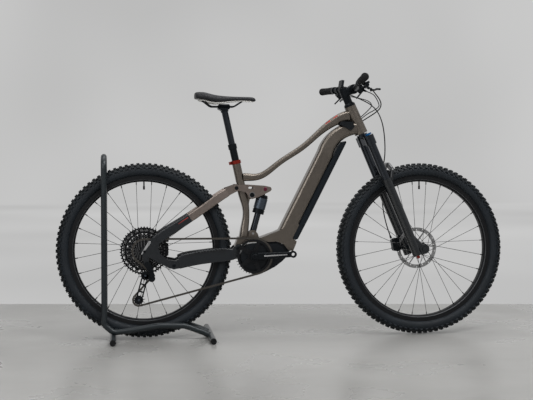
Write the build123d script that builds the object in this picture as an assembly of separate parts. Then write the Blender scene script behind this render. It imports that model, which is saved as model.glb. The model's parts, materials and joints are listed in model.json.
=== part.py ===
from build123d import *
import math
import os

os.makedirs("parts", exist_ok=True)

# Full-suspension mountain bicycle with a mid motor, standing in a tubular rear-wheel stand.
# Millimetres. +X is forward, +Y is the rider's left, +Z is up, z = 0 is the floor.
# The pieces are laid out from the rear axle and moved so that the origin is on the floor,
# half way between the axles.

# ---------------------------------------------------------------- sizes: wheels and floor
WHEELBASE = 1202.0
TYRE_R = 374.0
TYRE_WIDTH = 66.0
TYRE_WALL = 2.0
TREAD_BAND = 50.0
REAR_LIFT = 2.0
RIM_OUTER_R = 320.0
RIM_INNER_R = 293.0
RIM_WIDTH = 36.0
RIM_WALL = 1.6
SPOKES = 28
SPOKE_R = 1.0
NIPPLE_R = 2.2
NIPPLE_LENGTH = 12.0
FLANGE_R = 27.0
FLANGE_THICK = 3.2
HUB_R = 15.0
VALVE_R = 3.0
VALVE_LENGTH = 34.0
ROTOR_R = 90.0
ROTOR_THICK = 1.8
ROTOR_TRACK = 16.0
FRONT_HUB_WIDTH = 110.0
REAR_HUB_WIDTH = 148.0
FRONT_ROTOR_Y = 39.0
REAR_ROTOR_Y = 57.0
AXLE_R = 6.0
HUB_BORE_GAP = 0.06

# ---------------------------------------------------------------- sizes: steering and fork
HEAD_TILT = 23.0
FORK_OFFSET = 44.0
STEER_REST = 3.87
HEAD_TUBE_LOW = 564.0
HEAD_TUBE_TOP = 692.0
HEAD_TUBE_LOW_R = 29.0
HEAD_TUBE_TOP_R = 25.0
HEAD_BORE_R = 22.0
STEERER_R = 14.3
CUP_HEIGHT = 8.0
LEG_OFFSET = 7.6
LEG_Y = 66.0
STANCHION_R = 17.5
STANCHION_WALL = 3.0
LOWER_LEG_R = 21.5
CROWN_LOW = 508.0
CROWN_TOP = 553.0
SEAL_TOP = 345.0
FORK_TRAVEL = 140.0
STANCHION_IN = 130.0
FORK_END_ROOM = 3.0
TYRE_ROOM = 4.0
STANCHION_GAP = 0.06
ARCH_S = 392.0
ARCH_N = 52.0
DROPOUT_R = 21.0
STEM_LENGTH = 40.0
STEM_S = 755.0
STEM_HEIGHT = 38.0
BAR_CLAMP_R = 15.9
BAR_R = 11.1
BAR_WALL = 2.4
BAR_HALF = 380.0
GRIP_R = 16.5
GRIP_LENGTH = 128.0

# ---------------------------------------------------------------- sizes: frame
SEAT_ANGLE = 77.5
SEAT_CLAMP = (394.0, 750.0)
SEAT_TUBE_R = 18.2
POST_R = 15.8
POST_INNER_R = 14.0
POST_WALL = 2.4
POST_FIT = 0.05
POST_COLLAR_R = 18.5
COLLAR_ALONG = 78.0
DROPPER_TRAVEL = 140.0
POST_LOW = -146.0
POST_HEAD_R = 17.0
POST_HEAD_HEIGHT = 10.8
POST_HEAD_ROOM = 3.7
POST_HEAD_TOP = COLLAR_ALONG + DROPPER_TRAVEL + POST_HEAD_ROOM + POST_HEAD_HEIGHT
FRAME_WALL = 2.6
BB = (467.0, 350.0)
MAIN_PIVOT = (400.0, 385.0)
HORST_PIVOT = (124.0, 317.0)
ROCKER_REAR = (392.0, 642.0)
ROCKER_PIVOT = (460.0, 612.0)
SHOCK_TOP = (517.0, 636.0)
SHOCK_LOW = (465.0, 446.0)
PIVOT_PIN_R = 6.0
PIVOT_GAP = 0.06
OPEN_PIVOT_GAP = 3.6
SIDE_GAP = 0.3
ROCKER_IN_Y = 24.0
ROCKER_OUT_Y = 34.0
STAY_LUG_OUT_Y = 46.0
CHAINSTAY_BOSS_IN_Y = 28.0
CHAINSTAY_BOSS_OUT_Y = 44.0
DROPOUT_THICK = 8.0
DOWN_TUBE_DEPTH = 66.0
DOWN_TUBE_ANGLE = 63.2
DOWN_TUBE_MID = (696.5, 622.0)
DOWN_TUBE_WIDTH = 78.0
COVER_DEPTH = 26.0
MOTOR_HALF = 33.5
TOP_TUBE_WIDTH = 36.0

# ---------------------------------------------------------------- sizes: drive
PITCH = 12.7
ROLLER_R = 3.9
ROLLER_ROOM = 0.8
CHAIN_Y = -49.5
CHAIN_INNER_WIDTH = 2.2
CHAIN_PLATE = 0.7
CHAIN_PLATE_HALF = 4.0
RING_TEETH = 38
RING_THICK = 1.9
CASSETTE = (11, 13, 15, 17, 19, 22, 25, 28, 32, 36, 42, 50)
ENGAGED = 6
COG_STEP = 3.65
COG_THICK = 1.6
PULLEY_TEETH = 12
UPPER_PULLEY = (4.0, 272.0)
LOWER_PULLEY_DIST = 107.5
CAGE_PIVOT = (30.0, 262.0)
CRANK_LENGTH = 165.0
CRANK_ANGLE = 3.1
SPINDLE_R = 12.0
SPINDLE_WALL = 4.0
SPINDLE_SEAT = 7.0
SPINDLE_FIT = 0.04
CRANK_IN_Y = 57.0
PEDAL_BORE_R = 7.14

# ---------------------------------------------------------------- sizes: stand
STAND_R = 12.5
STAND_WALL = 1.6
WELD_GAP = 0.05
STAND_Y = 52.0
STAND_FRONT_X = 281.0
STAND_REAR_X = -132.2
STAND_FOOT_LENGTH = 443.0
STAND_UPRIGHT_X = -169.0
STAND_TOP = 787.0
CAP_LENGTH = 12.0

# wheels: flange planes and freehub end
FRONT_LEFT_FLANGE = 20.0
FRONT_RIGHT_FLANGE = -32.0
REAR_LEFT_FLANGE = 36.0
REAR_RIGHT_FLANGE = -22.0
FREEHUB_END = -28.5

# derailleur hanger and rear stays
HANGER_BOLT = (10.0, 322.0)
STAY_END_Y = REAR_HUB_WIDTH / 2
BRIDGE = (318.0, 606.0)

# shock
CAN_R = 23.0
DAMPER_R = 14.0
DAMPER_WALL = 3.0
SHOCK_STROKE = 50.0
EYE_R = 11.5
EYE_HALF = 14.2
CAN_TOP = 172.0
CAN_LOW = 88.0
CAN_LID = 5.0

# battery
BATTERY_LOW = -160.0
BATTERY_TOP = 165.0
BATTERY_GAP = 0.4

# saddle rails
RAIL_Y = 22.0
RAIL_R = 3.5
RAIL_Z = 989.0

# levers, pods, hoses and their ports
LEVER_FWD = 24.0
LEVER_UP = -17.0
POD_FWD = 5.0
POD_UP = -27.0
HOSE_R = 2.5
CABLE_R = 2.0
PORT_FACE = ((905.0, 905.0), (897.0, 925.0))
PORT_Y = 33.5
HOSE_END = (-44.0, 47.0, 86.0)

REAR_Z = TYRE_R + REAR_LIFT
FRONT_Z = TYRE_R
TILT = math.radians(HEAD_TILT)
FRONT_AXLE = (WHEELBASE, 0, FRONT_Z)
STEER_FOOT = (
    WHEELBASE - FORK_OFFSET * math.cos(TILT),
    0,
    FRONT_Z - FORK_OFFSET * math.sin(TILT),
)
STEER_UP = (-math.sin(TILT), 0, math.cos(TILT))

# Local frames: x across, z along the named axis, y stays the rider's left.
FORK = Plane(origin=STEER_FOOT, x_dir=(math.cos(TILT), 0, math.sin(TILT)), z_dir=STEER_UP)
SEAT_A = math.radians(SEAT_ANGLE)
SEAT = Plane(
    origin=(SEAT_CLAMP[0], 0, SEAT_CLAMP[1]),
    x_dir=(math.sin(SEAT_A), 0, math.cos(SEAT_A)),
    z_dir=(-math.cos(SEAT_A), 0, math.sin(SEAT_A)),
)
SHOCK_LEAN = math.atan2(SHOCK_TOP[0] - SHOCK_LOW[0], SHOCK_TOP[1] - SHOCK_LOW[1])
SHOCK_LENGTH = math.dist(SHOCK_TOP, SHOCK_LOW)
SHOCK = Plane(
    origin=(SHOCK_LOW[0], 0, SHOCK_LOW[1]),
    x_dir=(math.cos(SHOCK_LEAN), 0, -math.sin(SHOCK_LEAN)),
    z_dir=(math.sin(SHOCK_LEAN), 0, math.cos(SHOCK_LEAN)),
)

# ---------------------------------------------------------------- helpers
def solids(*shapes):
    """Every solid of the given shapes, as a flat list."""
    found = []
    for shape in shapes:
        found += list(shape.solids())
    return found


def cyl_y(x, z, radius, y0, y1):
    """Cylinder along Y between y0 and y1."""
    return Pos(x, (y0 + y1) / 2, z) * Rot(90, 0, 0) * Cylinder(radius, abs(y1 - y0))


def slab(points, y0, y1, round_r=0.0):
    """Side outline (x, z) made solid between y0 and y1, with rounded corners."""
    face = make_face(Polyline(*[(x, z) for x, z in points], close=True))
    if round_r:
        face = fillet(face.vertices(), round_r)
    face = Plane.XZ.offset(-min(y0, y1)) * face
    return extrude(face, amount=-abs(y1 - y0))


def both_sides(shape):
    """The shape and its mirror image across the centre plane."""
    return [shape, mirror(shape, Plane.XZ)]


def rod(start, end, radius, bore=0.0):
    """Straight round bar, or a tube with a bore, between two points."""
    a = Vector(*start)
    b = Vector(*end)
    plane = Plane(origin=a, z_dir=(b - a).normalized())
    bar = extrude(plane * Circle(radius), amount=(b - a).length)
    if bore:
        bar -= extrude(plane * Circle(bore), amount=(b - a).length)
    return bar


def bent_path(points, radii):
    """Straight runs joined by tangent arcs."""
    return FilletPolyline(*points, radius=radii)


def bent_tube(points, radii, radius, bore=0.0):
    """Round tube swept along straight runs joined by tangent arcs."""
    path = bent_path(points, radii)
    start = Plane(origin=path @ 0, z_dir=path % 0)
    tube = sweep(start * Circle(radius), path=path)
    if bore:
        tube -= sweep(start * Circle(bore), path=path)
    return tube


def tube_section(x, z, angle, width, depth, round_r):
    """Rounded section across a tube whose axis climbs at the given angle from +X."""
    a = math.radians(angle)
    plane = Plane(
        origin=(x, 0, z), x_dir=(0, 1, 0), z_dir=(math.cos(a), 0, math.sin(a))
    )
    return plane * RectangleRounded(width, depth, round_r)


def shaped_tube(stations, grow=0.0):
    """Loft through stations of (x, z, angle, width, depth, corner radius)."""
    faces = []
    for x, z, angle, width, depth, round_r in stations:
        w = width + 2 * grow
        d = depth + 2 * grow
        r = min(max(round_r + grow, 1.0), 0.49 * min(w, d))
        faces.append(tube_section(x, z, angle, w, d, r))
    return loft(faces)


def steered(shape):
    """Turn a piece of the steering group to the angle at which the bar stands."""
    return shape.rotate(Axis(STEER_FOOT, STEER_UP), STEER_REST)


def save(name, *shapes):
    """Move to the part's origin and write one sub-part."""
    moved = [Pos(-WHEELBASE / 2, 0, 0) * s for s in solids(*shapes)]
    export_step(Compound(moved), f"parts/{name}.step")
    NODES[name] = moved


NODES = {}

# ---------------------------------------------------------------- wheels
def tyre():
    """Hollow casing of revolution with a raised tread band, open at the beads."""
    half = TYRE_WIDTH / 2
    bead_y = RIM_WIDTH / 2 - RIM_WALL - 0.3
    bead_r = RIM_OUTER_R - 7
    wide_r = (TYRE_R + bead_r) / 2 + 2
    wall = TYRE_WALL
    outer = [
        (bead_r, bead_y),
        (RIM_OUTER_R + 0.4, bead_y),
        (RIM_OUTER_R + 4, bead_y + 4),
        (wide_r - 12, half - 3),
        (wide_r, half),
        (TYRE_R - 14, half - 2),
        (TYRE_R - 5, TREAD_BAND / 2 - 2),
        (TYRE_R, 8),
    ]
    inner = [
        (TYRE_R - 5 - wall, 8),
        (TYRE_R - 9 - wall, TREAD_BAND / 2 - 4),
        (TYRE_R - 17, half - 2 - 1.6 * wall),
        (wide_r, half - wall),
        (wide_r - 12, half - 3 - wall),
        (RIM_OUTER_R + 4, bead_y + 4 - 1.4 * wall),
        (bead_r, bead_y - 2 * wall),
    ]
    ring = outer + [(r, -y) for r, y in reversed(outer)]
    hollow = [(r, -y) for r, y in reversed(inner)] + inner
    face = make_face(Polyline(*ring, *hollow, close=True))
    return revolve(face, Axis.Y)


def rim():
    """Box-section rim with bead hooks and a bed for the spoke nipples."""
    w = RIM_WIDTH / 2
    t = RIM_WALL
    bed = RIM_INNER_R + 12
    outline = [
        (RIM_OUTER_R, w),
        (RIM_OUTER_R, w - t),
        (bed + 2, w - t),
        (bed, w - t - 4),
        (bed, -w + t + 4),
        (bed + 2, -w + t),
        (RIM_OUTER_R, -w + t),
        (RIM_OUTER_R, -w),
        (bed - 4, -w),
        (RIM_INNER_R, -w + 8),
        (RIM_INNER_R, w - 8),
        (bed - 4, w),
    ]
    void = [
        (bed - t, w - t - 4),
        (bed - 5, w - t - 1),
        (RIM_INNER_R + t, w - 8 - 1),
        (RIM_INNER_R + t, -w + 8 + 1),
        (bed - 5, -w + t + 1),
        (bed - t, -w + t + 4),
    ]
    body = revolve(make_face(Polyline(*outline, close=True)), Axis.Y)
    body -= revolve(make_face(Polyline(*void, close=True)), Axis.Y)
    return body


def valve():
    """Valve stem that stands out of the rim towards the hub."""
    top = RIM_INNER_R - 0.1
    stem = Pos(0, 0, top - VALVE_LENGTH / 2) * Cylinder(VALVE_R, VALVE_LENGTH)
    cap = Pos(0, 0, top - VALVE_LENGTH + 8) * Cylinder(VALVE_R + 1.2, 14)
    return stem + cap


def spokes(left_y, right_y):
    """Laced spokes with nipples, from both hub flanges to the rim."""
    rim_r = RIM_INNER_R - 0.1
    laced = []
    for i in range(SPOKES):
        left = i % 2 == 0
        y = left_y if left else right_y
        lead = 1 if (i // 2) % 2 == 0 else -1
        at_rim = 2 * math.pi * (i + 0.5) / SPOKES
        at_hub = at_rim + lead * math.radians(68)
        side = 1 if y > 0 else -1
        skin = side * (FLANGE_THICK / 2 + SPOKE_R)
        layer = 1.5 * skin if lead > 0 else -skin - side * 0.2
        hub = Vector(
            (FLANGE_R - 3) * math.sin(at_hub), y + layer, (FLANGE_R - 3) * math.cos(at_hub)
        )
        end = Vector(rim_r * math.sin(at_rim), side * 3, rim_r * math.cos(at_rim))
        along = (end - hub).normalized()
        neck = end - along * NIPPLE_LENGTH
        plane = Plane(origin=hub, z_dir=along)
        wire = extrude(plane * RegularPolygon(SPOKE_R, 6), amount=(neck - hub).length)
        seat = Plane(origin=neck, z_dir=along)
        nipple = extrude(seat * RegularPolygon(NIPPLE_R, 6), amount=NIPPLE_LENGTH - 0.3)
        laced.append(wire + nipple)
    return laced


def hub(left_y, right_y, left_end, right_end, shell_end):
    """Hub shell with two flanges and end caps, bored for the through axle."""
    shell = cyl_y(0, 0, HUB_R, shell_end, left_end - 9)
    for y in (left_y, right_y):
        shell += cyl_y(0, 0, FLANGE_R, y - FLANGE_THICK / 2, y + FLANGE_THICK / 2)
    shell += cyl_y(0, 0, 10, left_end - 9, left_end - 0.1)
    if right_end != shell_end:
        shell += cyl_y(0, 0, 10, right_end + 0.1, shell_end)
    return shell


def rotor(y):
    """Brake disc: a drilled braking track on thin arms round a carrier."""
    band = cyl_y(0, 0, ROTOR_R, y - ROTOR_THICK / 2, y + ROTOR_THICK / 2)
    band -= cyl_y(0, 0, ROTOR_R - ROTOR_TRACK, y - ROTOR_THICK, y + ROTOR_THICK)
    for i in range(18):
        a = 2 * math.pi * i / 18
        r = ROTOR_R - ROTOR_TRACK / 2 + (3 if i % 2 else -3)
        hole = Pos(r * math.sin(a), y, r * math.cos(a)) * Rot(90, 0, 0)
        band -= hole * extrude(RegularPolygon(2.6, 6), amount=4, both=True)
    disc = band
    arms = 6
    root_r = 24.0
    for i in range(arms):
        a = 2 * math.pi * i / arms
        b = a + math.radians(26)
        r0 = root_r - 2
        r1 = ROTOR_R - ROTOR_TRACK + 2
        p = Vector(r0 * math.sin(a), 0, r0 * math.cos(a))
        q = Vector(r1 * math.sin(b), 0, r1 * math.cos(b))
        side = (q - p).cross(Vector(0, 1, 0)).normalized() * 2.4
        corners = [p + side, q + side, q - side, p - side]
        disc += slab([(c.X, c.Z) for c in corners], y - ROTOR_THICK / 2, y + ROTOR_THICK / 2)
    disc += cyl_y(0, 0, root_r, y - ROTOR_THICK / 2, y + ROTOR_THICK / 2)
    disc -= cyl_y(0, 0, HUB_R + 0.15, y - ROTOR_THICK, y + ROTOR_THICK)
    return disc


def front_wheel():
    at = Pos(*FRONT_AXLE)
    half = FRONT_HUB_WIDTH / 2
    save("front_tyre", steered(at * tyre()))
    save("front_rim", steered(at * rim()), steered(at * valve()))
    laced = spokes(FRONT_LEFT_FLANGE, FRONT_RIGHT_FLANGE)
    save("front_spokes", *[steered(at * s) for s in laced])
    shell = hub(FRONT_LEFT_FLANGE, FRONT_RIGHT_FLANGE, half, -half, -half + 9)
    shell -= cyl_y(0, 0, AXLE_R + HUB_BORE_GAP, -half, half)
    save("front_hub", steered(at * shell))
    save("front_rotor", steered(at * rotor(FRONT_ROTOR_Y)))


def rear_wheel():
    at = Pos(0, 0, REAR_Z)
    half = REAR_HUB_WIDTH / 2
    save("rear_tyre", at * tyre())
    save("rear_rim", at * rim(), at * valve())
    laced = spokes(REAR_LEFT_FLANGE, REAR_RIGHT_FLANGE)
    save("rear_spokes", *[at * s for s in laced])
    shell = hub(REAR_LEFT_FLANGE, REAR_RIGHT_FLANGE, half, FREEHUB_END, FREEHUB_END)
    shell -= cyl_y(0, 0, AXLE_R + HUB_BORE_GAP, -half, half)
    save("rear_hub", at * shell)
    save("rear_rotor", at * rotor(REAR_ROTOR_Y))

# ---------------------------------------------------------------- toothed wheels and chain
def pitch_radius(teeth):
    return PITCH / (2 * math.sin(math.pi / teeth))


def tooth_face(teeth, phase, full=True):
    """Toothed outline with a roller seat centred on the phase angle (radians from +Z)."""
    r = pitch_radius(teeth)
    root = r * math.cos(math.pi / teeth) - CHAIN_PLATE_HALF - 0.3
    tip = r + 3.2
    step = 2 * math.pi / teeth
    corners = []
    for i in range(teeth):
        a = phase + i * step
        seat = (ROLLER_R + ROLLER_ROOM) / r
        crest = 0.8 / r
        if full:
            corners.append((root, a - seat))
            corners.append((root, a + seat))
            corners.append((tip, a + step / 2 - crest))
            corners.append((tip, a + step / 2 + crest))
        else:
            corners.append((root, a))
            corners.append((tip, a + step / 2))
    points = [(q * math.sin(b), q * math.cos(b)) for q, b in corners]
    return make_face(Polyline(*points, close=True))


def toothed_disc(teeth, phase, y0, y1, full=True):
    face = Plane.XZ.offset(-min(y0, y1)) * tooth_face(teeth, phase, full)
    return extrude(face, amount=-abs(y1 - y0))


def tangent(c0, r0, s0, c1, r1, s1):
    """Belt tangent from circle 0 to circle 1; s is +1 for clockwise seen from -Y."""
    dx = c1[0] - c0[0]
    dz = c1[1] - c0[1]
    dist = math.hypot(dx, dz)
    base = math.atan2(dz, dx)
    lean = math.asin((s0 * r0 - s1 * r1) / dist)
    normal = base + math.pi / 2 - lean
    nx = math.cos(normal)
    nz = math.sin(normal)
    p = (c0[0] + s0 * r0 * nx, c0[1] + s0 * r0 * nz)
    q = (c1[0] + s1 * r1 * nx, c1[1] + s1 * r1 * nz)
    return p, q


def chain_course(cage_turn):
    """Runs and arcs of the chain for a cage turned by an angle about its pivot."""
    upper, lower = pulley_centres(cage_turn)
    wheels = [
        ((0.0, REAR_Z), CASSETTE[ENGAGED], 1),
        (BB, RING_TEETH, 1),
        (lower, PULLEY_TEETH, 1),
        (upper, PULLEY_TEETH, -1),
    ]
    legs = []
    count = len(wheels)
    lines = []
    for i in range(count):
        c0, n0, s0 = wheels[i]
        c1, n1, s1 = wheels[(i + 1) % count]
        lines.append(tangent(c0, pitch_radius(n0), s0, c1, pitch_radius(n1), s1))
    for i in range(count):
        legs.append(("run", lines[i][0], lines[i][1]))
        centre, teeth, sense = wheels[(i + 1) % count]
        a0 = math.atan2(lines[i][1][1] - centre[1], lines[i][1][0] - centre[0])
        nxt = lines[(i + 1) % count][0]
        a1 = math.atan2(nxt[1] - centre[1], nxt[0] - centre[0])
        turn = (a0 - a1) * sense
        turn %= 2 * math.pi
        legs.append(("arc", centre, teeth, sense, a0, turn))
    return legs


def pulley_centres(cage_turn):
    """Both jockey wheel centres for a cage turn about the cage pivot."""
    arm = (UPPER_PULLEY[0] - CAGE_PIVOT[0], UPPER_PULLEY[1] - CAGE_PIVOT[1])
    c = math.cos(cage_turn)
    s = math.sin(cage_turn)
    upper = (CAGE_PIVOT[0] + arm[0] * c - arm[1] * s, CAGE_PIVOT[1] + arm[0] * s + arm[1] * c)
    lean = math.radians(-104.5) + cage_turn
    lower = (
        upper[0] + LOWER_PULLEY_DIST * math.cos(lean),
        upper[1] + LOWER_PULLEY_DIST * math.sin(lean),
    )
    return upper, lower


def course_pitches(legs):
    """Length of the course, counted in chain pitches."""
    total = 0.0
    for leg in legs:
        if leg[0] == "run":
            total += math.dist(leg[1], leg[2]) / PITCH
        else:
            total += leg[5] / (2 * math.pi / leg[2])
    return total


def solve_cage():
    """Cage turn that closes the loop on the nearest even number of pitches."""
    target = 2 * round(course_pitches(chain_course(0.0)) / 2)
    low = -0.6
    high = 0.6
    f_low = course_pitches(chain_course(low)) - target
    for _ in range(50):
        mid = (low + high) / 2
        f_mid = course_pitches(chain_course(mid)) - target
        if (f_mid > 0) == (f_low > 0):
            low = mid
        else:
            high = mid
    return (low + high) / 2, target


CAGE_TURN, LINK_COUNT = solve_cage()
UPPER_C, LOWER_C = pulley_centres(CAGE_TURN)


def roller_points():
    """Roller centres along the closed course, and the phase of each wheel's seats."""
    legs = chain_course(CAGE_TURN)
    points = []
    phases = {}
    start = 0.0
    marks = []
    for leg in legs:
        if leg[0] == "run":
            length = math.dist(leg[1], leg[2]) / PITCH
        else:
            length = leg[5] / (2 * math.pi / leg[2])
        marks.append((start, start + length, leg))
        start += length
    for k in range(LINK_COUNT):
        for a, b, leg in marks:
            if a <= k + 1e-9 < b:
                break
        t = k - a
        if leg[0] == "run":
            f = t * PITCH / math.dist(leg[1], leg[2])
            x = leg[1][0] + f * (leg[2][0] - leg[1][0])
            z = leg[1][1] + f * (leg[2][1] - leg[1][1])
        else:
            centre, teeth, sense, a0 = leg[1], leg[2], leg[3], leg[4]
            angle = a0 - sense * t * 2 * math.pi / teeth
            r = pitch_radius(teeth)
            x = centre[0] + r * math.cos(angle)
            z = centre[1] + r * math.sin(angle)
            phases.setdefault(centre, math.pi / 2 - angle)
        points.append((x, z))
    return points, phases


ROLLERS, PHASES = roller_points()


def link(p, q, outer):
    """Outer link: two plates. Inner link: two plates with the rollers between them."""
    length = math.dist(p, q)
    half = CHAIN_PLATE_HALF
    inner_face = CHAIN_INNER_WIDTH / 2
    outline = [
        (-half, 0),
        (-half / 2, half),
        (length + half / 2, half),
        (length + half, 0),
        (length + half / 2, -half),
        (-half / 2, -half),
    ]
    turn = math.degrees(math.atan2(q[1] - p[1], q[0] - p[0]))
    spot = Pos(p[0], CHAIN_Y, p[1]) * Rot(0, -turn, 0)
    if outer:
        y0 = inner_face + CHAIN_PLATE + 0.05
        plate = slab(outline, y0, y0 + CHAIN_PLATE)
        return [spot * s for s in both_sides(plate)]
    y0 = inner_face + CHAIN_PLATE
    body = slab(outline, -y0, y0)
    window = Box(length - 2 * ROLLER_R, CHAIN_INNER_WIDTH, 4 * half)
    body -= Pos(length / 2, 0, 0) * window
    return [spot * body]


def chain():
    """Closed roller chain, each link its own solid on the rollers of the course."""
    links = []
    for i, p in enumerate(ROLLERS):
        q = ROLLERS[(i + 1) % LINK_COUNT]
        links += link(p, q, i % 2 == 0)
    save("chain", *links)


def cassette():
    """Twelve sprockets on a ribbed carrier and freehub body."""
    cog_z = REAR_Z
    stack = []
    first_y = CHAIN_Y - ENGAGED * COG_STEP
    for i, teeth in enumerate(CASSETTE):
        y = first_y + i * COG_STEP
        phase = PHASES[(0.0, REAR_Z)] if i == ENGAGED else 0.0
        cog = toothed_disc(teeth, phase, y - COG_THICK / 2, y + COG_THICK / 2, i == ENGAGED)
        rim_r = pitch_radius(teeth) - 10
        core_r = 20.0
        if rim_r > core_r + 8:
            cog -= cyl_y(0, 0, rim_r, y - COG_THICK, y + COG_THICK)
            arms = 6
            for k in range(arms):
                a = 2 * math.pi * k / arms + 0.09 * i
                r0 = core_r - 1
                r1 = rim_r + 2
                b = a + 0.25
                p = Vector(r0 * math.sin(a), 0, r0 * math.cos(a))
                q = Vector(r1 * math.sin(b), 0, r1 * math.cos(b))
                side = (q - p).cross(Vector(0, 1, 0)).normalized() * 3
                corners = [p + side, q + side, q - side, p - side]
                outline = [(c.X, c.Z) for c in corners]
                cog += slab(outline, y - COG_THICK / 2, y + COG_THICK / 2)
        stack.append(cog)
    body = cyl_y(0, 0, 20.5, first_y + 4 * COG_STEP, FREEHUB_END - 0.3)
    body += cyl_y(0, 0, 16.0, first_y - 1.2, first_y + 4 * COG_STEP)
    body -= cyl_y(0, 0, AXLE_R + HUB_BORE_GAP, first_y - 2, FREEHUB_END)
    whole = body
    for cog in stack:
        whole += cog
    whole -= cyl_y(0, 0, AXLE_R + HUB_BORE_GAP, first_y - 4, FREEHUB_END)
    save("cassette", Pos(0, 0, cog_z) * whole)


def chainring():
    """Toothed ring on a five-arm spider, clamped to the spindle."""
    y0 = CHAIN_Y - RING_THICK / 2
    y1 = CHAIN_Y + RING_THICK / 2
    ring = toothed_disc(RING_TEETH, PHASES[BB], y0, y1)
    ring -= cyl_y(0, 0, pitch_radius(RING_TEETH) - 13, y0 - 1, y1 + 1)
    spider = cyl_y(0, 0, 26, y0 - 2.5, y1 + 1.5)
    arms = 5
    for k in range(arms):
        a = 2 * math.pi * k / arms + 0.3
        r0 = 22.0
        r1 = pitch_radius(RING_TEETH) - 9
        p = Vector(r0 * math.sin(a), 0, r0 * math.cos(a))
        q = Vector(r1 * math.sin(a), 0, r1 * math.cos(a))
        side = (q - p).cross(Vector(0, 1, 0)).normalized()
        corners = [p + side * 11, q + side * 7, q - side * 7, p - side * 11]
        spider += slab([(c.X, c.Z) for c in corners], y0, y1)
        spider += cyl_y(q.X * 0.965, q.Z * 0.965, 4.2, y0 - 2, y1 + 1)
    disc = ring + spider
    disc -= cyl_y(0, 0, SPINDLE_R + 0.02, y0 - 4, y1 + 4)
    save("chainring", Pos(BB[0], 0, BB[1]) * disc)


def crank_arm():
    """Forged arm on the drive side: boss, tapered beam with a flute, threaded pedal eye."""
    sections = []
    for share, out, thick, tall in ((0, 0, 16, 34), (0.5, 6, 14, 27), (1, 11, 13, 24)):
        plane = Plane(
            origin=(CRANK_LENGTH * share, -(CRANK_IN_Y + 8 + out), 0),
            x_dir=(0, 1, 0),
            z_dir=(1, 0, 0),
        )
        sections.append(plane * RectangleRounded(thick, tall, 5))
    beam = loft(sections)
    beam += cyl_y(0, 0, 19, -CRANK_IN_Y, -(CRANK_IN_Y + 19))
    eye_y = CRANK_IN_Y + 8 + 11
    beam += cyl_y(CRANK_LENGTH, 0, 15, -(eye_y - 7), -(eye_y + 7))
    flute_depth = 2.0
    flute = SlotCenterToCenter(92, 8)
    face = Plane.XZ.offset(CRANK_IN_Y + 8 + 6 + 7 - flute_depth) * Pos(96, 0) * flute
    beam -= extrude(face, amount=6)
    beam -= cyl_y(CRANK_LENGTH, 0, PEDAL_BORE_R, -(eye_y - 9), -(eye_y + 9))
    beam -= cyl_y(0, 0, SPINDLE_R - 3, -(CRANK_IN_Y + 10), -(CRANK_IN_Y + 20))
    return beam


def cranks():
    """Both arms, half a turn apart, on one hollow spindle."""
    spindle_end = CRANK_IN_Y + SPINDLE_SEAT
    spindle = cyl_y(0, 0, SPINDLE_R, -spindle_end, spindle_end)
    spindle -= cyl_y(0, 0, SPINDLE_R - SPINDLE_WALL, -spindle_end, spindle_end)
    arm = crank_arm()
    arm -= cyl_y(0, 0, SPINDLE_R + SPINDLE_FIT, -spindle_end - SPINDLE_FIT, 0)
    right = Rot(0, -CRANK_ANGLE, 0) * arm
    left = Rot(0, 180 - CRANK_ANGLE, 0) * mirror(arm, Plane.XZ)
    places = [Pos(BB[0], 0, BB[1]) * piece for piece in (right, spindle, left)]
    save("crank_arms", *places)

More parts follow.
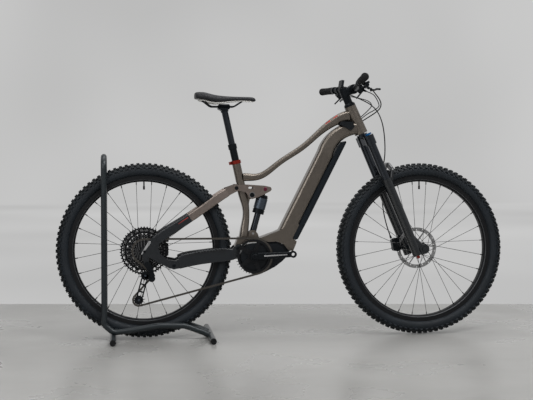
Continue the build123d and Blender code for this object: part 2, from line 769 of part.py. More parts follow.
# ---------------------------------------------------------------- rear derailleur
def derailleur():
    inner_y = CHAIN_Y + 6.5
    outer_y = CHAIN_Y - 6.5
    u = UPPER_C
    low = LOWER_C
    p = CAGE_PIVOT
    # outer (visible) and inner cage plates with a lightening window
    along = math.atan2(low[1] - u[1], low[0] - u[0])
    nx = -math.sin(along)
    nz = math.cos(along)
    wide = 17.0
    outline = [
        (u[0] + nx * 14 - math.cos(along) * 14, u[1] + nz * 14 - math.sin(along) * 14),
        (p[0] + 13, p[1] + 9),
        (p[0] + 13, p[1] - 10),
        (low[0] + nx * wide * 0.9, low[1] + nz * wide * 0.9),
        (low[0] + nx * 8 + math.cos(along) * 26, low[1] + nz * 8 + math.sin(along) * 26),
        (low[0] - nx * 16 + math.cos(along) * 22, low[1] - nz * 16 + math.sin(along) * 22),
        (low[0] - nx * 34, low[1] - nz * 34),
        (u[0] - nx * 12, u[1] - nz * 12),
    ]
    plates = []
    for y0, y1 in ((outer_y - 2.2, outer_y), (inner_y, inner_y + 1.8)):
        plate = slab(outline, y0, y1, 5.0)
        mid = ((u[0] + low[0]) / 2 + nx * 2, (u[1] + low[1]) / 2 + nz * 2)
        window = [
            (mid[0] + nx * 6 - math.cos(along) * 22, mid[1] + nz * 6 - math.sin(along) * 22),
            (mid[0] + nx * 6 + math.cos(along) * 20, mid[1] + nz * 6 + math.sin(along) * 20),
            (mid[0] - nx * 7 + math.cos(along) * 20, mid[1] - nz * 7 + math.sin(along) * 20),
            (mid[0] - nx * 7 - math.cos(along) * 22, mid[1] - nz * 7 - math.sin(along) * 22),
        ]
        plate -= slab(window, y0 - 1, y1 + 1, 4.0)
        plates.append(plate)
    cage = plates[0] + plates[1]
    for c in (u, low):
        cage += cyl_y(c[0], c[1], 3.0, outer_y - 1, inner_y + 1)
    cage += cyl_y(p[0], p[1], 7.0, outer_y - 10, outer_y - 1)
    save("derailleur_cage", cage)
    for name, c in (("upper_pulley", u), ("lower_pulley", low)):
        wheel = toothed_disc(PULLEY_TEETH, PHASES[c], CHAIN_Y - 0.9, CHAIN_Y + 0.9)
        wheel += cyl_y(0, 0, 8, CHAIN_Y - 5.5, CHAIN_Y + 5.5)
        wheel -= cyl_y(0, 0, 3.06, CHAIN_Y - 7, CHAIN_Y + 7)
        save(name, Pos(c[0], 0, c[1]) * wheel)
    # body: upper knuckle on the hanger, angled links, lower knuckle round the cage pivot
    knuckle_y0 = outer_y - 20
    knuckle = cyl_y(p[0], p[1], 15, knuckle_y0, outer_y - 2.5)
    knuckle -= cyl_y(p[0], p[1], 7.06, outer_y - 11, outer_y)
    hanger_y = -(REAR_HUB_WIDTH / 2)
    top = HANGER_BOLT
    upper = cyl_y(top[0], top[1], 12, hanger_y - DROPOUT_THICK - 12, hanger_y - DROPOUT_THICK - 0.3)
    upper += slab(
        [
            (top[0] - 12, top[1] + 4),
            (top[0] + 14, top[1] + 6),
            (top[0] + 26, top[1] - 22),
            (top[0] + 2, top[1] - 26),
        ],
        hanger_y - DROPOUT_THICK - 12,
        hanger_y - DROPOUT_THICK - 0.3,
        4.0,
    )
    link_a = loft(
        [
            Plane(origin=(top[0] + 12, -88, top[1] - 16), z_dir=(0.5, 0.25, -0.83))
            * RectangleRounded(20, 13, 4),
            Plane(origin=(p[0] + 4, -70, p[1] + 6), z_dir=(0.5, 0.25, -0.83))
            * RectangleRounded(24, 15, 4),
        ]
    )
    whole = upper + link_a + knuckle
    whole -= cyl_y(p[0], p[1], 7.06, outer_y - 11, outer_y)
    whole -= Pos(p[0], outer_y - 2.5 + 20, p[1]) * Box(200, 40, 200)
    save("derailleur_body", whole)

# ---------------------------------------------------------------- rear stays


def seatstay_side(side):
    """One seatstay with its dropout: rear axle, lower pivot lug and upper lug in one forging."""
    s = side
    stations = [
        (44, 418, 42, 13, 74),
        (120, 470, 38, 16, 66),
        (214, 530, 35, 17, 58),
        (300, 590, 36, 17, 52),
        (352, 624, 36, 14, 44.5),
    ]
    faces = []
    for x, z, depth, width, y in stations:
        plane = Plane(
            origin=(x, s * y, z), x_dir=(0, 1, 0), z_dir=(math.cos(0.58), 0, math.sin(0.58))
        )
        faces.append(plane * RectangleRounded(width, depth, 5))
    beam = loft(faces)
    y0 = s * (ROCKER_OUT_Y + SIDE_GAP)
    y1 = s * STAY_LUG_OUT_Y
    eye_r = PIVOT_PIN_R + OPEN_PIVOT_GAP + 6
    lug = slab(
        [
            (344, 641),
            (ROCKER_REAR[0] - 2, ROCKER_REAR[1] + eye_r - 1),
            (ROCKER_REAR[0] + 4, ROCKER_REAR[1] - eye_r + 2),
            (352, 606),
        ],
        y0 + s * 3.5,
        y1,
        2.0,
    )
    lug += cyl_y(ROCKER_REAR[0], ROCKER_REAR[1], eye_r, y0, y1)
    plate_in = s * (STAY_END_Y + 0.1)
    plate_out = s * (STAY_END_Y + DROPOUT_THICK)
    drop = slab(
        [
            (-14, 392),
            (10, 398),
            (30, 436),
            (62, 420),
            (58, 392),
            (66, 366),
            (96, 342),
            (140, 334),
            (142, 302),
            (104, 304),
            (58, 330),
            (30, 346),
            (0, 358),
            (-14, 362),
        ],
        plate_in,
        plate_out,
        6.0,
    )
    drop += cyl_y(0, REAR_Z, 17, plate_in, plate_out)
    drop += cyl_y(HORST_PIVOT[0], HORST_PIVOT[1], 17, plate_in, plate_out)
    if s < 0:
        drop += slab(
            [(-12, 372), (14, 366), (20, 322), (10, 311), (-1, 318)], plate_in, plate_out, 3.0
        )
    whole = beam + lug + drop
    if s > 0:
        # post mount for the rear caliper on the disc side
        whole += slab(
            [(66, 406.4), (106, 406.4), (112, 444), (66, 418)],
            s * (STAY_END_Y - 14),
            s * (STAY_END_Y + 2),
            2.0,
        )
    whole -= cyl_y(0, REAR_Z, AXLE_R + 0.02, s * 60, s * 100)
    whole -= cyl_y(ROCKER_REAR[0], ROCKER_REAR[1], PIVOT_PIN_R + OPEN_PIVOT_GAP, s * 30, s * 60)
    return whole


def seatstays():
    pair = seatstay_side(-1) + seatstay_side(1)
    pair += cyl_y(BRIDGE[0], BRIDGE[1] - 4, 7, -52, 52)
    for s in (-1, 1):
        pair += cyl_y(
            HORST_PIVOT[0], HORST_PIVOT[1], PIVOT_PIN_R, s * (STAY_END_Y - 15), s * (STAY_END_Y + 2)
        )
    save("seatstays", pair)
    # through axle with its head and the hanger bolt side end
    axle = cyl_y(0, REAR_Z, AXLE_R, -(STAY_END_Y + DROPOUT_THICK + 1), STAY_END_Y + DROPOUT_THICK + 1)
    axle += cyl_y(0, REAR_Z, 10, STAY_END_Y + DROPOUT_THICK + 0.1, STAY_END_Y + DROPOUT_THICK + 5)
    save("rear_axle", axle)


def chainstay_side(side):
    """One chainstay: tall beam from the main pivot to the lower pivot ahead of the axle."""
    s = side
    stations = [
        (378, 358, 46, 13, 37.5 + 3),
        (340, 357, 55, 14, 47),
        (282, 351, 55, 16, 52),
        (200, 340, 56, 15, 57),
        (146, 326, 50, 13, 65),
    ]
    faces = []
    for x, z, depth, width, y in stations:
        plane = Plane(
            origin=(x, s * y, z), x_dir=(0, 1, 0), z_dir=(-math.cos(0.14), 0, -math.sin(0.14))
        )
        faces.append(plane * RectangleRounded(width, depth, 5))
    beam = loft(faces)
    boss = cyl_y(
        MAIN_PIVOT[0], MAIN_PIVOT[1], 16, s * CHAINSTAY_BOSS_IN_Y, s * CHAINSTAY_BOSS_OUT_Y
    )
    boss += slab(
        [(384, 392), (412, 388), (404, 366), (388, 338), (372, 336), (372, 380)],
        s * 34.2,
        s * CHAINSTAY_BOSS_OUT_Y,
        4.0,
    )
    end = cyl_y(
        HORST_PIVOT[0], HORST_PIVOT[1], 17, s * (STAY_END_Y - 14), s * (STAY_END_Y - SIDE_GAP)
    )
    end += slab(
        [(128, 334), (152, 346), (156, 304), (124, 300)],
        s * (STAY_END_Y - 15),
        s * (STAY_END_Y - 3),
        3.0,
    )
    whole = beam + boss + end
    whole -= cyl_y(MAIN_PIVOT[0], MAIN_PIVOT[1], 8.02, s * 20, s * 60)
    whole -= cyl_y(
        HORST_PIVOT[0], HORST_PIVOT[1], PIVOT_PIN_R + PIVOT_GAP, s * 50, s * (STAY_END_Y + 10)
    )
    return whole


def chainstays():
    """Both chainstays and the axle they clamp at the main pivot."""
    pin = cyl_y(MAIN_PIVOT[0], MAIN_PIVOT[1], 8.0, -CHAINSTAY_BOSS_OUT_Y, CHAINSTAY_BOSS_OUT_Y)
    save("chainstays", chainstay_side(-1), chainstay_side(1), pin)

# ---------------------------------------------------------------- rocker and shock
def rocker():
    """Rocker link: two machined arms joined at the nose, with the open-pivot bolts."""
    outline = [
        (382, 654),
        (430, 656),
        (520, 650),
        (541, 645),
        (545, 636),
        (540, 628),
        (505, 610),
        (474, 598),
        (460, 594),
        (446, 602),
        (434, 622),
        (408, 629),
        (386, 628),
    ]
    arm = slab(outline, ROCKER_IN_Y, ROCKER_OUT_Y, 4.0)
    arm += cyl_y(ROCKER_REAR[0], ROCKER_REAR[1], 15, ROCKER_IN_Y, ROCKER_OUT_Y)
    arm += cyl_y(ROCKER_PIVOT[0], ROCKER_PIVOT[1], 17, ROCKER_IN_Y, ROCKER_OUT_Y)
    slot = SlotCenterToCenter(12, 10)
    cut = Plane.XZ.offset(-ROCKER_OUT_Y - 1) * Pos(455, 642) * slot
    arm -= extrude(cut, amount=ROCKER_OUT_Y - ROCKER_IN_Y + 2)
    arm -= slab(
        [(478, 640), (505, 637), (498, 622), (480, 616)], ROCKER_OUT_Y - 3, ROCKER_OUT_Y + 1, 3.0
    )
    arm -= cyl_y(ROCKER_PIVOT[0], ROCKER_PIVOT[1], 8.06, ROCKER_IN_Y - 1, ROCKER_OUT_Y + 1)
    left, right = both_sides(arm)
    nose = slab([(534, 643), (542, 641), (542, 631), (535, 629)], -ROCKER_IN_Y, ROCKER_IN_Y, 3.0)
    whole = left + right + nose
    for s in (-1, 1):
        whole += cyl_y(
            ROCKER_REAR[0],
            ROCKER_REAR[1],
            PIVOT_PIN_R,
            s * (ROCKER_OUT_Y - 2),
            s * (STAY_LUG_OUT_Y + 1),
        )
        whole += cyl_y(
            ROCKER_REAR[0],
            ROCKER_REAR[1],
            PIVOT_PIN_R + OPEN_PIVOT_GAP + 4,
            s * (STAY_LUG_OUT_Y + SIDE_GAP),
            s * (STAY_LUG_OUT_Y + 4),
        )
    whole += cyl_y(SHOCK_TOP[0], SHOCK_TOP[1], 4.0, -ROCKER_IN_Y - 1, ROCKER_IN_Y + 1)
    save("rocker_link", whole)


def shock():
    """Air shock: the damper body slides up into the air can."""
    eye = Rot(90, 0, 0) * Cylinder(EYE_R, 2 * EYE_HALF)
    low = eye + Pos(0, 0, 20) * Cylinder(DAMPER_R, 26)
    shaft_low = 30.0
    shaft_length = CAN_TOP - CAN_LID - SHOCK_STROKE - shaft_low
    shaft = Pos(0, 0, shaft_low + shaft_length / 2) * Cylinder(DAMPER_R - 0.5, shaft_length)
    low += shaft
    low -= Pos(0, 0, 33 + 50) * Cylinder(DAMPER_R - 0.5 - DAMPER_WALL, 90)
    low -= Rot(90, 0, 0) * Cylinder(5.0 + PIVOT_GAP, 40)
    save("shock_damper", SHOCK * low)
    length = CAN_TOP - CAN_LOW
    can = Pos(0, 0, CAN_LOW + length / 2) * Cylinder(CAN_R, length)
    edges = can.edges().filter_by(GeomType.CIRCLE).group_by(Axis.Z)[-1]
    can = fillet(edges, 6)
    can += Pos(0, 0, CAN_LOW + 9) * Cylinder(CAN_R + 2, 18)
    can -= Pos(0, 0, CAN_LOW + 15) * Cylinder(DAMPER_R - 0.5 + STANCHION_GAP, 40)
    can -= Pos(0, 0, CAN_LOW + 44) * Cylinder(CAN_R - 4, 70)
    can += Pos(0, 0, CAN_TOP + 8) * Cylinder(9, 24)
    top_eye = Pos(0, 0, SHOCK_LENGTH) * Rot(90, 0, 0) * Cylinder(EYE_R, 2 * EYE_HALF)
    can += top_eye
    can -= Pos(0, 0, SHOCK_LENGTH) * Rot(90, 0, 0) * Cylinder(4.0 + OPEN_PIVOT_GAP, 40)
    save("shock_can", SHOCK * can)

# ---------------------------------------------------------------- main frame
def top_tube(grow=0.0):
    w = TOP_TUBE_WIDTH
    return shaped_tube(
        [
            (424, 686, 4, w, 34, 10),
            (470, 687, 6, w, 30, 10),
            (500, 693, 22, w, 27, 9),
            (560, 733, 34, w, 24, 9),
            (640, 788, 36, w, 24, 9),
            (740, 866, 39, w + 2, 25, 9),
            (800, 914, 38, w + 6, 34, 11),
            (846, 941, 24, w + 8, 42, 12),
            (886, 950, 8, w + 8, 48, 12),
        ],
        grow,
    )


def down_tube_straight(grow, low, top):
    """Straight run of the down tube between two places along it."""
    a = math.radians(DOWN_TUBE_ANGLE)
    foot = along_down_tube(low, 0)
    plane = Plane(
        origin=(foot[0], 0, foot[1]), x_dir=(0, 1, 0), z_dir=(math.cos(a), 0, math.sin(a))
    )
    section = RectangleRounded(DOWN_TUBE_WIDTH + 2 * grow, DOWN_TUBE_DEPTH + 2 * grow, 14 + grow)
    return extrude(plane * section, amount=top - low)


def down_tube_bend(grow, start):
    """Bend of the down tube from its straight run into the head tube."""
    w = DOWN_TUBE_WIDTH
    d = DOWN_TUBE_DEPTH
    foot = along_down_tube(start, 0)
    return shaped_tube(
        [
            (foot[0], foot[1], DOWN_TUBE_ANGLE, w, d, 14),
            (813, 849, 49, w - 8, 61, 14),
            (866, 887, 27, w - 18, 58, 14),
            (918, 898, 12, w - 22, 50, 14),
        ],
        grow,
    )


def seat_tube_low(grow=0.0):
    return shaped_tube(
        [
            (410.5, 674, 282.5, 2 * SEAT_TUBE_R, 2 * SEAT_TUBE_R, 15),
            (419, 632, 284, 38, 38, 14),
            (427, 598, 284, 40, 36, 12),
            (435, 560, 280, 42, 29, 10),
            (437, 530, 272, 43, 27, 9),
            (432, 480, 262, 50, 32, 10),
            (425, 420, 262, 55, 43, 12),
        ],
        grow,
    )


def main_frame():
    """Welded front triangle: head, top, down and seat tubes, motor shell and pivot mounts."""
    head_mid = (HEAD_TUBE_LOW + HEAD_TUBE_TOP) / 2
    head = FORK * (
        Pos(0, 0, head_mid)
        * Cone(HEAD_TUBE_LOW_R, HEAD_TUBE_TOP_R, HEAD_TUBE_TOP - HEAD_TUBE_LOW)
    )
    seat = SEAT * (Pos(0, 0, -38) * Cylinder(SEAT_TUBE_R, 84))
    body = down_tube_straight(0, -200, 187) + down_tube_bend(0, 185)
    body += top_tube()
    body += seat_tube_low()
    body += head
    body += seat
    body += motor_shell()
    body += rocker_web()
    body -= top_tube(-FRAME_WALL)
    body -= down_tube_bend(-FRAME_WALL - 1, 166)
    body -= battery_bay()
    for s in (-1, 1):
        body += slab(
            [(444, 424), (446, 450), (458, 460), (474, 459), (486, 444), (492, 424)],
            s * (EYE_HALF + SIDE_GAP),
            s * (EYE_HALF + 11),
            4.0,
        )
    body -= FORK * (Pos(0, 0, head_mid) * Cylinder(HEAD_BORE_R, 200))
    bore_low = POST_LOW - SIDE_GAP
    body -= SEAT * (Pos(0, 0, bore_low / 2 + 10) * Cylinder(POST_R + POST_FIT, 20 - bore_low))
    body -= cyl_y(MAIN_PIVOT[0], MAIN_PIVOT[1], 8.0 + PIVOT_GAP, -40, 40)
    body -= cyl_y(SHOCK_LOW[0], SHOCK_LOW[1], 5.02, -40, 40)
    body -= cyl_y(ROCKER_PIVOT[0], ROCKER_PIVOT[1], 8.0 + 0.02, -40, 40)
    save("main_frame", body)


def motor_shell():
    """Cast shell over the motor, from the seat tube foot to the down tube."""
    at = along_down_tube
    front = DOWN_TUBE_DEPTH / 2
    nose = [
        (590, 465),
        (640, 520),
        at(-140, front),
        at(-205.5, front),
        at(-207.5, front + COVER_DEPTH - 3),
        (646, 392),
        (637, 371),
        (618, 372),
        (596, 400),
        (566, 412),
        (530, 410),
    ]
    foot = [(440, 406), (412, 398), (408, 372), (392, 372), (386, 392)]
    spine = [(400, 430), (446, 433), (494, 427), (560, 452)] + nose + foot
    cheeks = [(488, 425), (560, 451)] + nose
    pocket = [
        (520, 421),
        (562, 438),
        (594, 452),
        (628, 494),
        (640, 462),
        (622, 420),
        (632, 398),
        (628, 384),
        (604, 410),
        (568, 424),
        (530, 420),
    ]
    half = DOWN_TUBE_WIDTH / 2 + 1
    boss = CHAINSTAY_BOSS_IN_Y - SIDE_GAP
    shell = slab(spine, -boss, boss, 3.0) + slab(cheeks, -half, half, 4.0)
    return shell - slab(pocket, 5 - half, half - 5)


def rocker_web():
    """Web and boss that carry the rocker axle ahead of the seat tube."""
    outline = [(416, 642), (446, 626), (470, 620), (472, 600), (452, 592), (442, 545), (424, 560)]
    boss = ROCKER_IN_Y - SIDE_GAP
    return slab(outline, -15, 15, 3.0) + cyl_y(ROCKER_PIVOT[0], ROCKER_PIVOT[1], 15, -boss, boss)


def along_down_tube(t, n):
    """Point (x, z) at t along the down tube and n out of its front side."""
    a = math.radians(DOWN_TUBE_ANGLE)
    x = DOWN_TUBE_MID[0] + math.cos(a) * t + math.sin(a) * n
    z = DOWN_TUBE_MID[1] + math.sin(a) * t - math.cos(a) * n
    return (x, z)


def battery_bay():
    """Bay in the down tube, open at the front, through which the battery goes in."""
    at = along_down_tube
    low = BATTERY_LOW - 4
    top = BATTERY_TOP + 4
    back = 4 - DOWN_TUBE_DEPTH / 2
    n = DOWN_TUBE_DEPTH / 2 + 10
    half = DOWN_TUBE_WIDTH / 2 - 5
    return slab([at(low, back), at(top, back), at(top, n), at(low, n)], -half, half)


def battery():
    """Battery pack inside the down tube and the cover that closes the channel."""
    at = along_down_tube
    half = DOWN_TUBE_WIDTH / 2
    front = DOWN_TUBE_DEPTH / 2
    back = 4 - front + BATTERY_GAP
    deep = [at(BATTERY_LOW, back), at(BATTERY_TOP, back)]
    shallow = [at(BATTERY_TOP, front - 1), at(BATTERY_LOW, front - 1)]
    side = half - 5 - BATTERY_GAP
    pack = slab(deep + shallow, -side, side, 5.0)
    save("battery_pack", pack)
    n0 = front + SIDE_GAP
    n1 = front + COVER_DEPTH
    outline = [
        at(-186, n0),
        at(240, n0),
        at(262, n0 + 6),
        at(274, n1 - 6),
        at(268, n1),
        at(-60, n1),
        at(-196, n1 - 3),
        at(-206, n1 - 12),
        at(-204, n0 + 4),
    ]
    cover = slab(outline, 1 - half, half - 1)
    a = math.radians(DOWN_TUBE_ANGLE)
    foot = at(-240, 0)
    plane = Plane(
        origin=(foot[0], 0, foot[1]), x_dir=(0, 1, 0), z_dir=(math.cos(a), 0, math.sin(a))
    )
    section = plane * (Pos(0, -n1 / 2) * RectangleRounded(2 * half - 2, n1, 12))
    cover &= extrude(section, amount=560)
    save("battery_cover", cover)


def motor():
    """Mid motor: rounded casting with a drive-side cover, bored for the crank spindle."""
    outline = [
        (419, 392),
        (440, 399),
        (500, 403),
        (545, 403),
        (566, 405),
        (592, 389),
        (610, 366),
        (606, 342),
        (590, 326),
        (560, 303),
        (515, 280),
        (470, 270),
        (430, 284),
        (408, 318),
        (404, 350),
        (420, 368),
    ]
    body = slab(outline, -MOTOR_HALF, MOTOR_HALF, 6.0)
    front = [(432, 396), (545, 401), (566, 403), (592, 387), (606, 364), (602, 342), (556, 304)]
    front += [(515, 283), (470, 274), (434, 288)]
    body += slab(front, -MOTOR_HALF - 6, MOTOR_HALF + 6, 8.0)
    body += cyl_y(BB[0], BB[1], 56, -44, -MOTOR_HALF)
    body += cyl_y(BB[0], BB[1], 30, -46, -43)
    body += cyl_y(BB[0], BB[1], 34, MOTOR_HALF, 50)
    body -= cyl_y(BB[0], BB[1], SPINDLE_R + PIVOT_GAP, -60, 60)
    save("motor_unit", body)


def seat_parts():
    """Seat clamp, telescopic post, rails, rail clamp and saddle."""
    ring = Pos(0, 0, 2) * Cylinder(SEAT_TUBE_R + 3.4, 15)
    ring += Pos(-(SEAT_TUBE_R + 6), 0, 2) * Box(12, 14, 13)
    ring -= Pos(0, 0, 2) * Cylinder(SEAT_TUBE_R + 0.05, 30)
    ring -= Pos(-(SEAT_TUBE_R + 6), 0, 2) * Box(16, 2, 30)
    bolt = Pos(-(SEAT_TUBE_R + 8), 0, 2) * Rot(90, 0, 0) * Cylinder(2.6, 17)
    save("seat_clamp", SEAT * (ring + bolt))
    low_end = POST_LOW + 6
    outer = Pos(0, 0, (low_end + COLLAR_ALONG) / 2) * Cylinder(POST_R, COLLAR_ALONG - low_end)
    outer += Pos(0, 0, COLLAR_ALONG - 8) * Cylinder(POST_COLLAR_R, 22)
    outer -= Pos(0, 0, COLLAR_ALONG) * Cylinder(POST_INNER_R + POST_FIT, 460)
    outer += Pos(0, 0, low_end - 3) * Cylinder(POST_R, 6)
    save("dropper_outer", SEAT * outer)
    top = POST_HEAD_TOP - POST_HEAD_HEIGHT + 0.5
    inner_low = COLLAR_ALONG - 60
    inner = Pos(0, 0, (inner_low + top) / 2) * Cylinder(POST_INNER_R, top - inner_low)
    inner -= Pos(0, 0, (inner_low + top) / 2 - 4) * Cylinder(POST_INNER_R - POST_WALL, top - inner_low)
    inner += Pos(0, 0, POST_HEAD_TOP - POST_HEAD_HEIGHT / 2) * Cylinder(POST_HEAD_R, POST_HEAD_HEIGHT)
    save("dropper_inner", SEAT * inner)
    saddle()


def saddle():
    """Saddle shell and padding as one soft solid, on two bent rails held by the post clamp."""
    rails = []
    for s in (-1, 1):
        points = [
            (250, s * 33, 1016.3),
            (284, s * RAIL_Y, RAIL_Z),
            (384, s * RAIL_Y, RAIL_Z),
            (420, s * 14, 1012.3),
        ]
        rails.append(bent_tube(points, [22, 26], RAIL_R))
    save("saddle_rails", *rails)
    cradle = slab(
        [(312, 984), (318, 978), (334, 970), (352, 970), (370, 984)], -30, 30, 2.0
    )
    lid = slab([(314, 990.5), (368, 990.5), (362, 999), (320, 999)], -30, 30, 2.0)
    block = cradle + lid + slab([(326, 980), (356, 980), (356, 994), (326, 994)], -14, 14)
    for s in (-1, 1):
        block -= cyl_x_gap(s * RAIL_Y)
    block -= SEAT * (Pos(0, 0, POST_HEAD_TOP + 0.1 - 20) * Cylinder(POST_HEAD_R + 0.05, 40))
    save("saddle_clamp", block)
    stations = [
        (214, 62, 1022, 1046),
        (240, 72, 1012, 1052),
        (290, 70, 1004, 1045),
        (340, 42, 1010, 1039),
        (400, 24, 1016, 1036),
        (462, 18, 1014, 1036),
        (482, 12, 1010, 1026),
    ]
    faces = []
    for x, half, z0, z1 in stations:
        plane = Plane(origin=(x, 0, (z0 + z1) / 2), x_dir=(0, 1, 0), z_dir=(1, 0, 0))
        faces.append(plane * RectangleRounded(2 * half, z1 - z0, (z1 - z0) * 0.42))
    body = loft(faces)
    under = loft(
        [
            Plane(origin=(213, 0, 1004), x_dir=(0, 1, 0), z_dir=(1, 0, 0)) * RectangleRounded(110, 44, 12),
            Plane(origin=(290, 0, 994), x_dir=(0, 1, 0), z_dir=(1, 0, 0)) * RectangleRounded(118, 44, 12),
            Plane(origin=(345, 0, 998), x_dir=(0, 1, 0), z_dir=(1, 0, 0)) * RectangleRounded(70, 38, 12),
        ]
    )
    save("saddle", body - under)


def cyl_x_gap(y):
    return Pos(341, y, RAIL_Z) * Rot(0, 90, 0) * Cylinder(RAIL_R + 0.03, 90)

# ---------------------------------------------------------------- fork
def fork():
    """Crown, steerer and stanchions; then the sliding lower casting."""
    crown_mid = (CROWN_LOW + CROWN_TOP) / 2
    height = CROWN_TOP - CROWN_LOW
    crown = Pos(0, 0, crown_mid) * Cylinder(26, height)
    for s in (-1, 1):
        crown += Pos(LEG_OFFSET, s * LEG_Y, crown_mid - 3) * Cylinder(STANCHION_R + 5, height - 2)
        arm = loft(
            [
                Plane(origin=(0, 0, crown_mid), x_dir=(0, 0, 1), z_dir=(0, s, 0))
                * RectangleRounded(height - 2, 46, 10),
                Plane(origin=(LEG_OFFSET, s * LEG_Y, crown_mid - 4), x_dir=(0, 0, 1), z_dir=(0, s, 0))
                * RectangleRounded(height - 12, 34, 10),
            ]
        )
        crown += arm
    steerer_top = STEM_S + STEM_HEIGHT / 2 - 2
    crown += Pos(0, 0, (CROWN_TOP + steerer_top) / 2) * Cylinder(STEERER_R, steerer_top - CROWN_TOP)
    crown += Pos(0, 0, CROWN_TOP + 3) * Cylinder(24, 8)
    for s in (-1, 1):
        low = SEAL_TOP - STANCHION_IN
        length = CROWN_TOP - 4 - low
        leg = Pos(LEG_OFFSET, s * LEG_Y, low + length / 2)
        crown += leg * Cylinder(STANCHION_R, length)
        crown -= Pos(LEG_OFFSET, s * LEG_Y, low + length / 2 - 12) * Cylinder(
            STANCHION_R - STANCHION_WALL, length
        )
    # room under the crown for the tyre at full stroke
    relief = Pos(FORK_OFFSET, 0, FORK_TRAVEL) * Rot(90, 0, 0)
    crown -= relief * Cylinder(TYRE_R + TYRE_ROOM, TYRE_WIDTH + 2 * TYRE_ROOM)
    crown -= Pos(0, 0, (CROWN_LOW + steerer_top) / 2 + 6) * Cylinder(
        STEERER_R - 2.4, steerer_top - CROWN_LOW + 12
    )
    save("fork_upper", steered(FORK * crown))
    knob = Pos(LEG_OFFSET, -LEG_Y, CROWN_TOP - 3.4 + 4) * Cylinder(11, 8)
    knob += Pos(LEG_OFFSET + 9, -LEG_Y, CROWN_TOP + 1) * Box(14, 5, 6)
    save("compression_knob", steered(FORK * knob))
    fork_lowers()


def fork_lowers():
    """Cast lower legs with arch, foot and caliper posts, two wiper seals and the axle."""
    bore_low = SEAL_TOP - STANCHION_IN - FORK_TRAVEL - FORK_END_ROOM
    bore_length = SEAL_TOP - bore_low + 40
    casting = None
    for s in (-1, 1):
        leg_low = -14.0
        leg = Pos(LEG_OFFSET, s * LEG_Y, (leg_low + SEAL_TOP - 10) / 2) * Cone(
            LOWER_LEG_R - 1.5, LOWER_LEG_R, SEAL_TOP - 10 - leg_low
        )
        leg += Pos(LEG_OFFSET, s * LEG_Y, SEAL_TOP - 24) * Cylinder(LOWER_LEG_R + 1.5, 24)
        boss_in = FRONT_HUB_WIDTH / 2
        boss = Pos(FORK_OFFSET, s * (boss_in + 12.5), 0) * Rot(90, 0, 0) * Cylinder(DROPOUT_R, 25)
        foot = loft(
            [
                Plane(origin=(LEG_OFFSET - 4, s * LEG_Y, 4), x_dir=(0, 1, 0), z_dir=(1, 0, 0))
                * RectangleRounded(21, 36, 9),
                Plane(origin=(FORK_OFFSET, s * (boss_in + 12.5), 0), x_dir=(0, 1, 0), z_dir=(1, 0, 0))
                * RectangleRounded(21, 34, 9),
            ]
        )
        brace = loft(
            [
                Plane(origin=(LEG_OFFSET + 2, s * LEG_Y, 76), x_dir=(1, 0, 0), z_dir=(0, 0, -1))
                * RectangleRounded(30, 22, 8),
                Plane(origin=(FORK_OFFSET - 10, s * (boss_in + 12.5), 6), x_dir=(1, 0, 0), z_dir=(0, 0, -1))
                * RectangleRounded(38, 22, 8),
            ]
        )
        side = leg + boss + foot + brace
        casting = side if casting is None else casting + side
    # arch in front of the legs
    arch_path = FilletPolyline(
        (LEG_OFFSET + 12, -LEG_Y + 4, SEAL_TOP - 26),
        (ARCH_N - 2, -LEG_Y + 8, ARCH_S - 22),
        (ARCH_N, -24, ARCH_S),
        (ARCH_N, 24, ARCH_S),
        (ARCH_N - 2, LEG_Y - 8, ARCH_S - 22),
        (LEG_OFFSET + 12, LEG_Y - 4, SEAL_TOP - 26),
        radius=[16, 20, 20, 16],
    )
    start = Plane(origin=arch_path @ 0, z_dir=arch_path % 0)
    arch = sweep(start * RectangleRounded(14, 24, 5), path=arch_path)
    casting += arch
    # caliper posts on the disc side, behind the leg
    casting += slab_local(
        [(-16.7, 75.2), (-28.1, 22.1), (LEG_OFFSET - 12, 8), (LEG_OFFSET - 12, 92)],
        LEG_Y - 16,
        LEG_Y - 2,
    )
    for s in (-1, 1):
        casting -= Pos(LEG_OFFSET, s * LEG_Y, bore_low + bore_length / 2) * Cylinder(
            STANCHION_R + STANCHION_GAP, bore_length
        )
    casting -= Pos(FORK_OFFSET, 0, 0) * Rot(90, 0, 0) * Cylinder(AXLE_R + 0.02, 200)
    seals = []
    for s in (-1, 1):
        seal = Pos(LEG_OFFSET, s * LEG_Y, SEAL_TOP - 5) * Cylinder(LOWER_LEG_R, 9.8)
        seal -= Pos(LEG_OFFSET, s * LEG_Y, SEAL_TOP - 5) * Cylinder(
            STANCHION_R + STANCHION_GAP, 20
        )
        seals.append(seal)
    end = FRONT_HUB_WIDTH / 2 + 25
    axle = Pos(FORK_OFFSET, 0, 0) * Rot(90, 0, 0) * Cylinder(AXLE_R, 2 * end)
    axle += Pos(FORK_OFFSET, -(end + 2.6), 0) * Rot(90, 0, 0) * Cylinder(11, 5)
    parts = [casting] + seals + [axle]
    save("fork_lowers", *[steered(FORK * piece) for piece in parts])
    knob = Pos(LEG_OFFSET, -LEG_Y, -14 - 7.6) * Cylinder(7.5, 12)
    save("rebound_knob", steered(FORK * knob))


def slab_local(points, y0, y1):
    """Side outline given in the fork's own frame (across, along)."""
    return slab(points, y0, y1, 3.0)


def caliper(y, width):
    """Two-piston caliper: two halves joined over the disc edge, pads in the slot."""
    half = width / 2
    body = slab([(-27, -16), (27, -16), (30, 0), (24, 17), (-24, 17), (-30, 0)], -half, half, 5.0)
    body -= Pos(0, 0, -12) * Box(80, ROTOR_THICK + 2.4, 44)
    for s in (-1, 1):
        body += cyl_y(0, -2, 11, s * (half - 1), s * (half + 3))
    return Pos(0, y, 0) * body


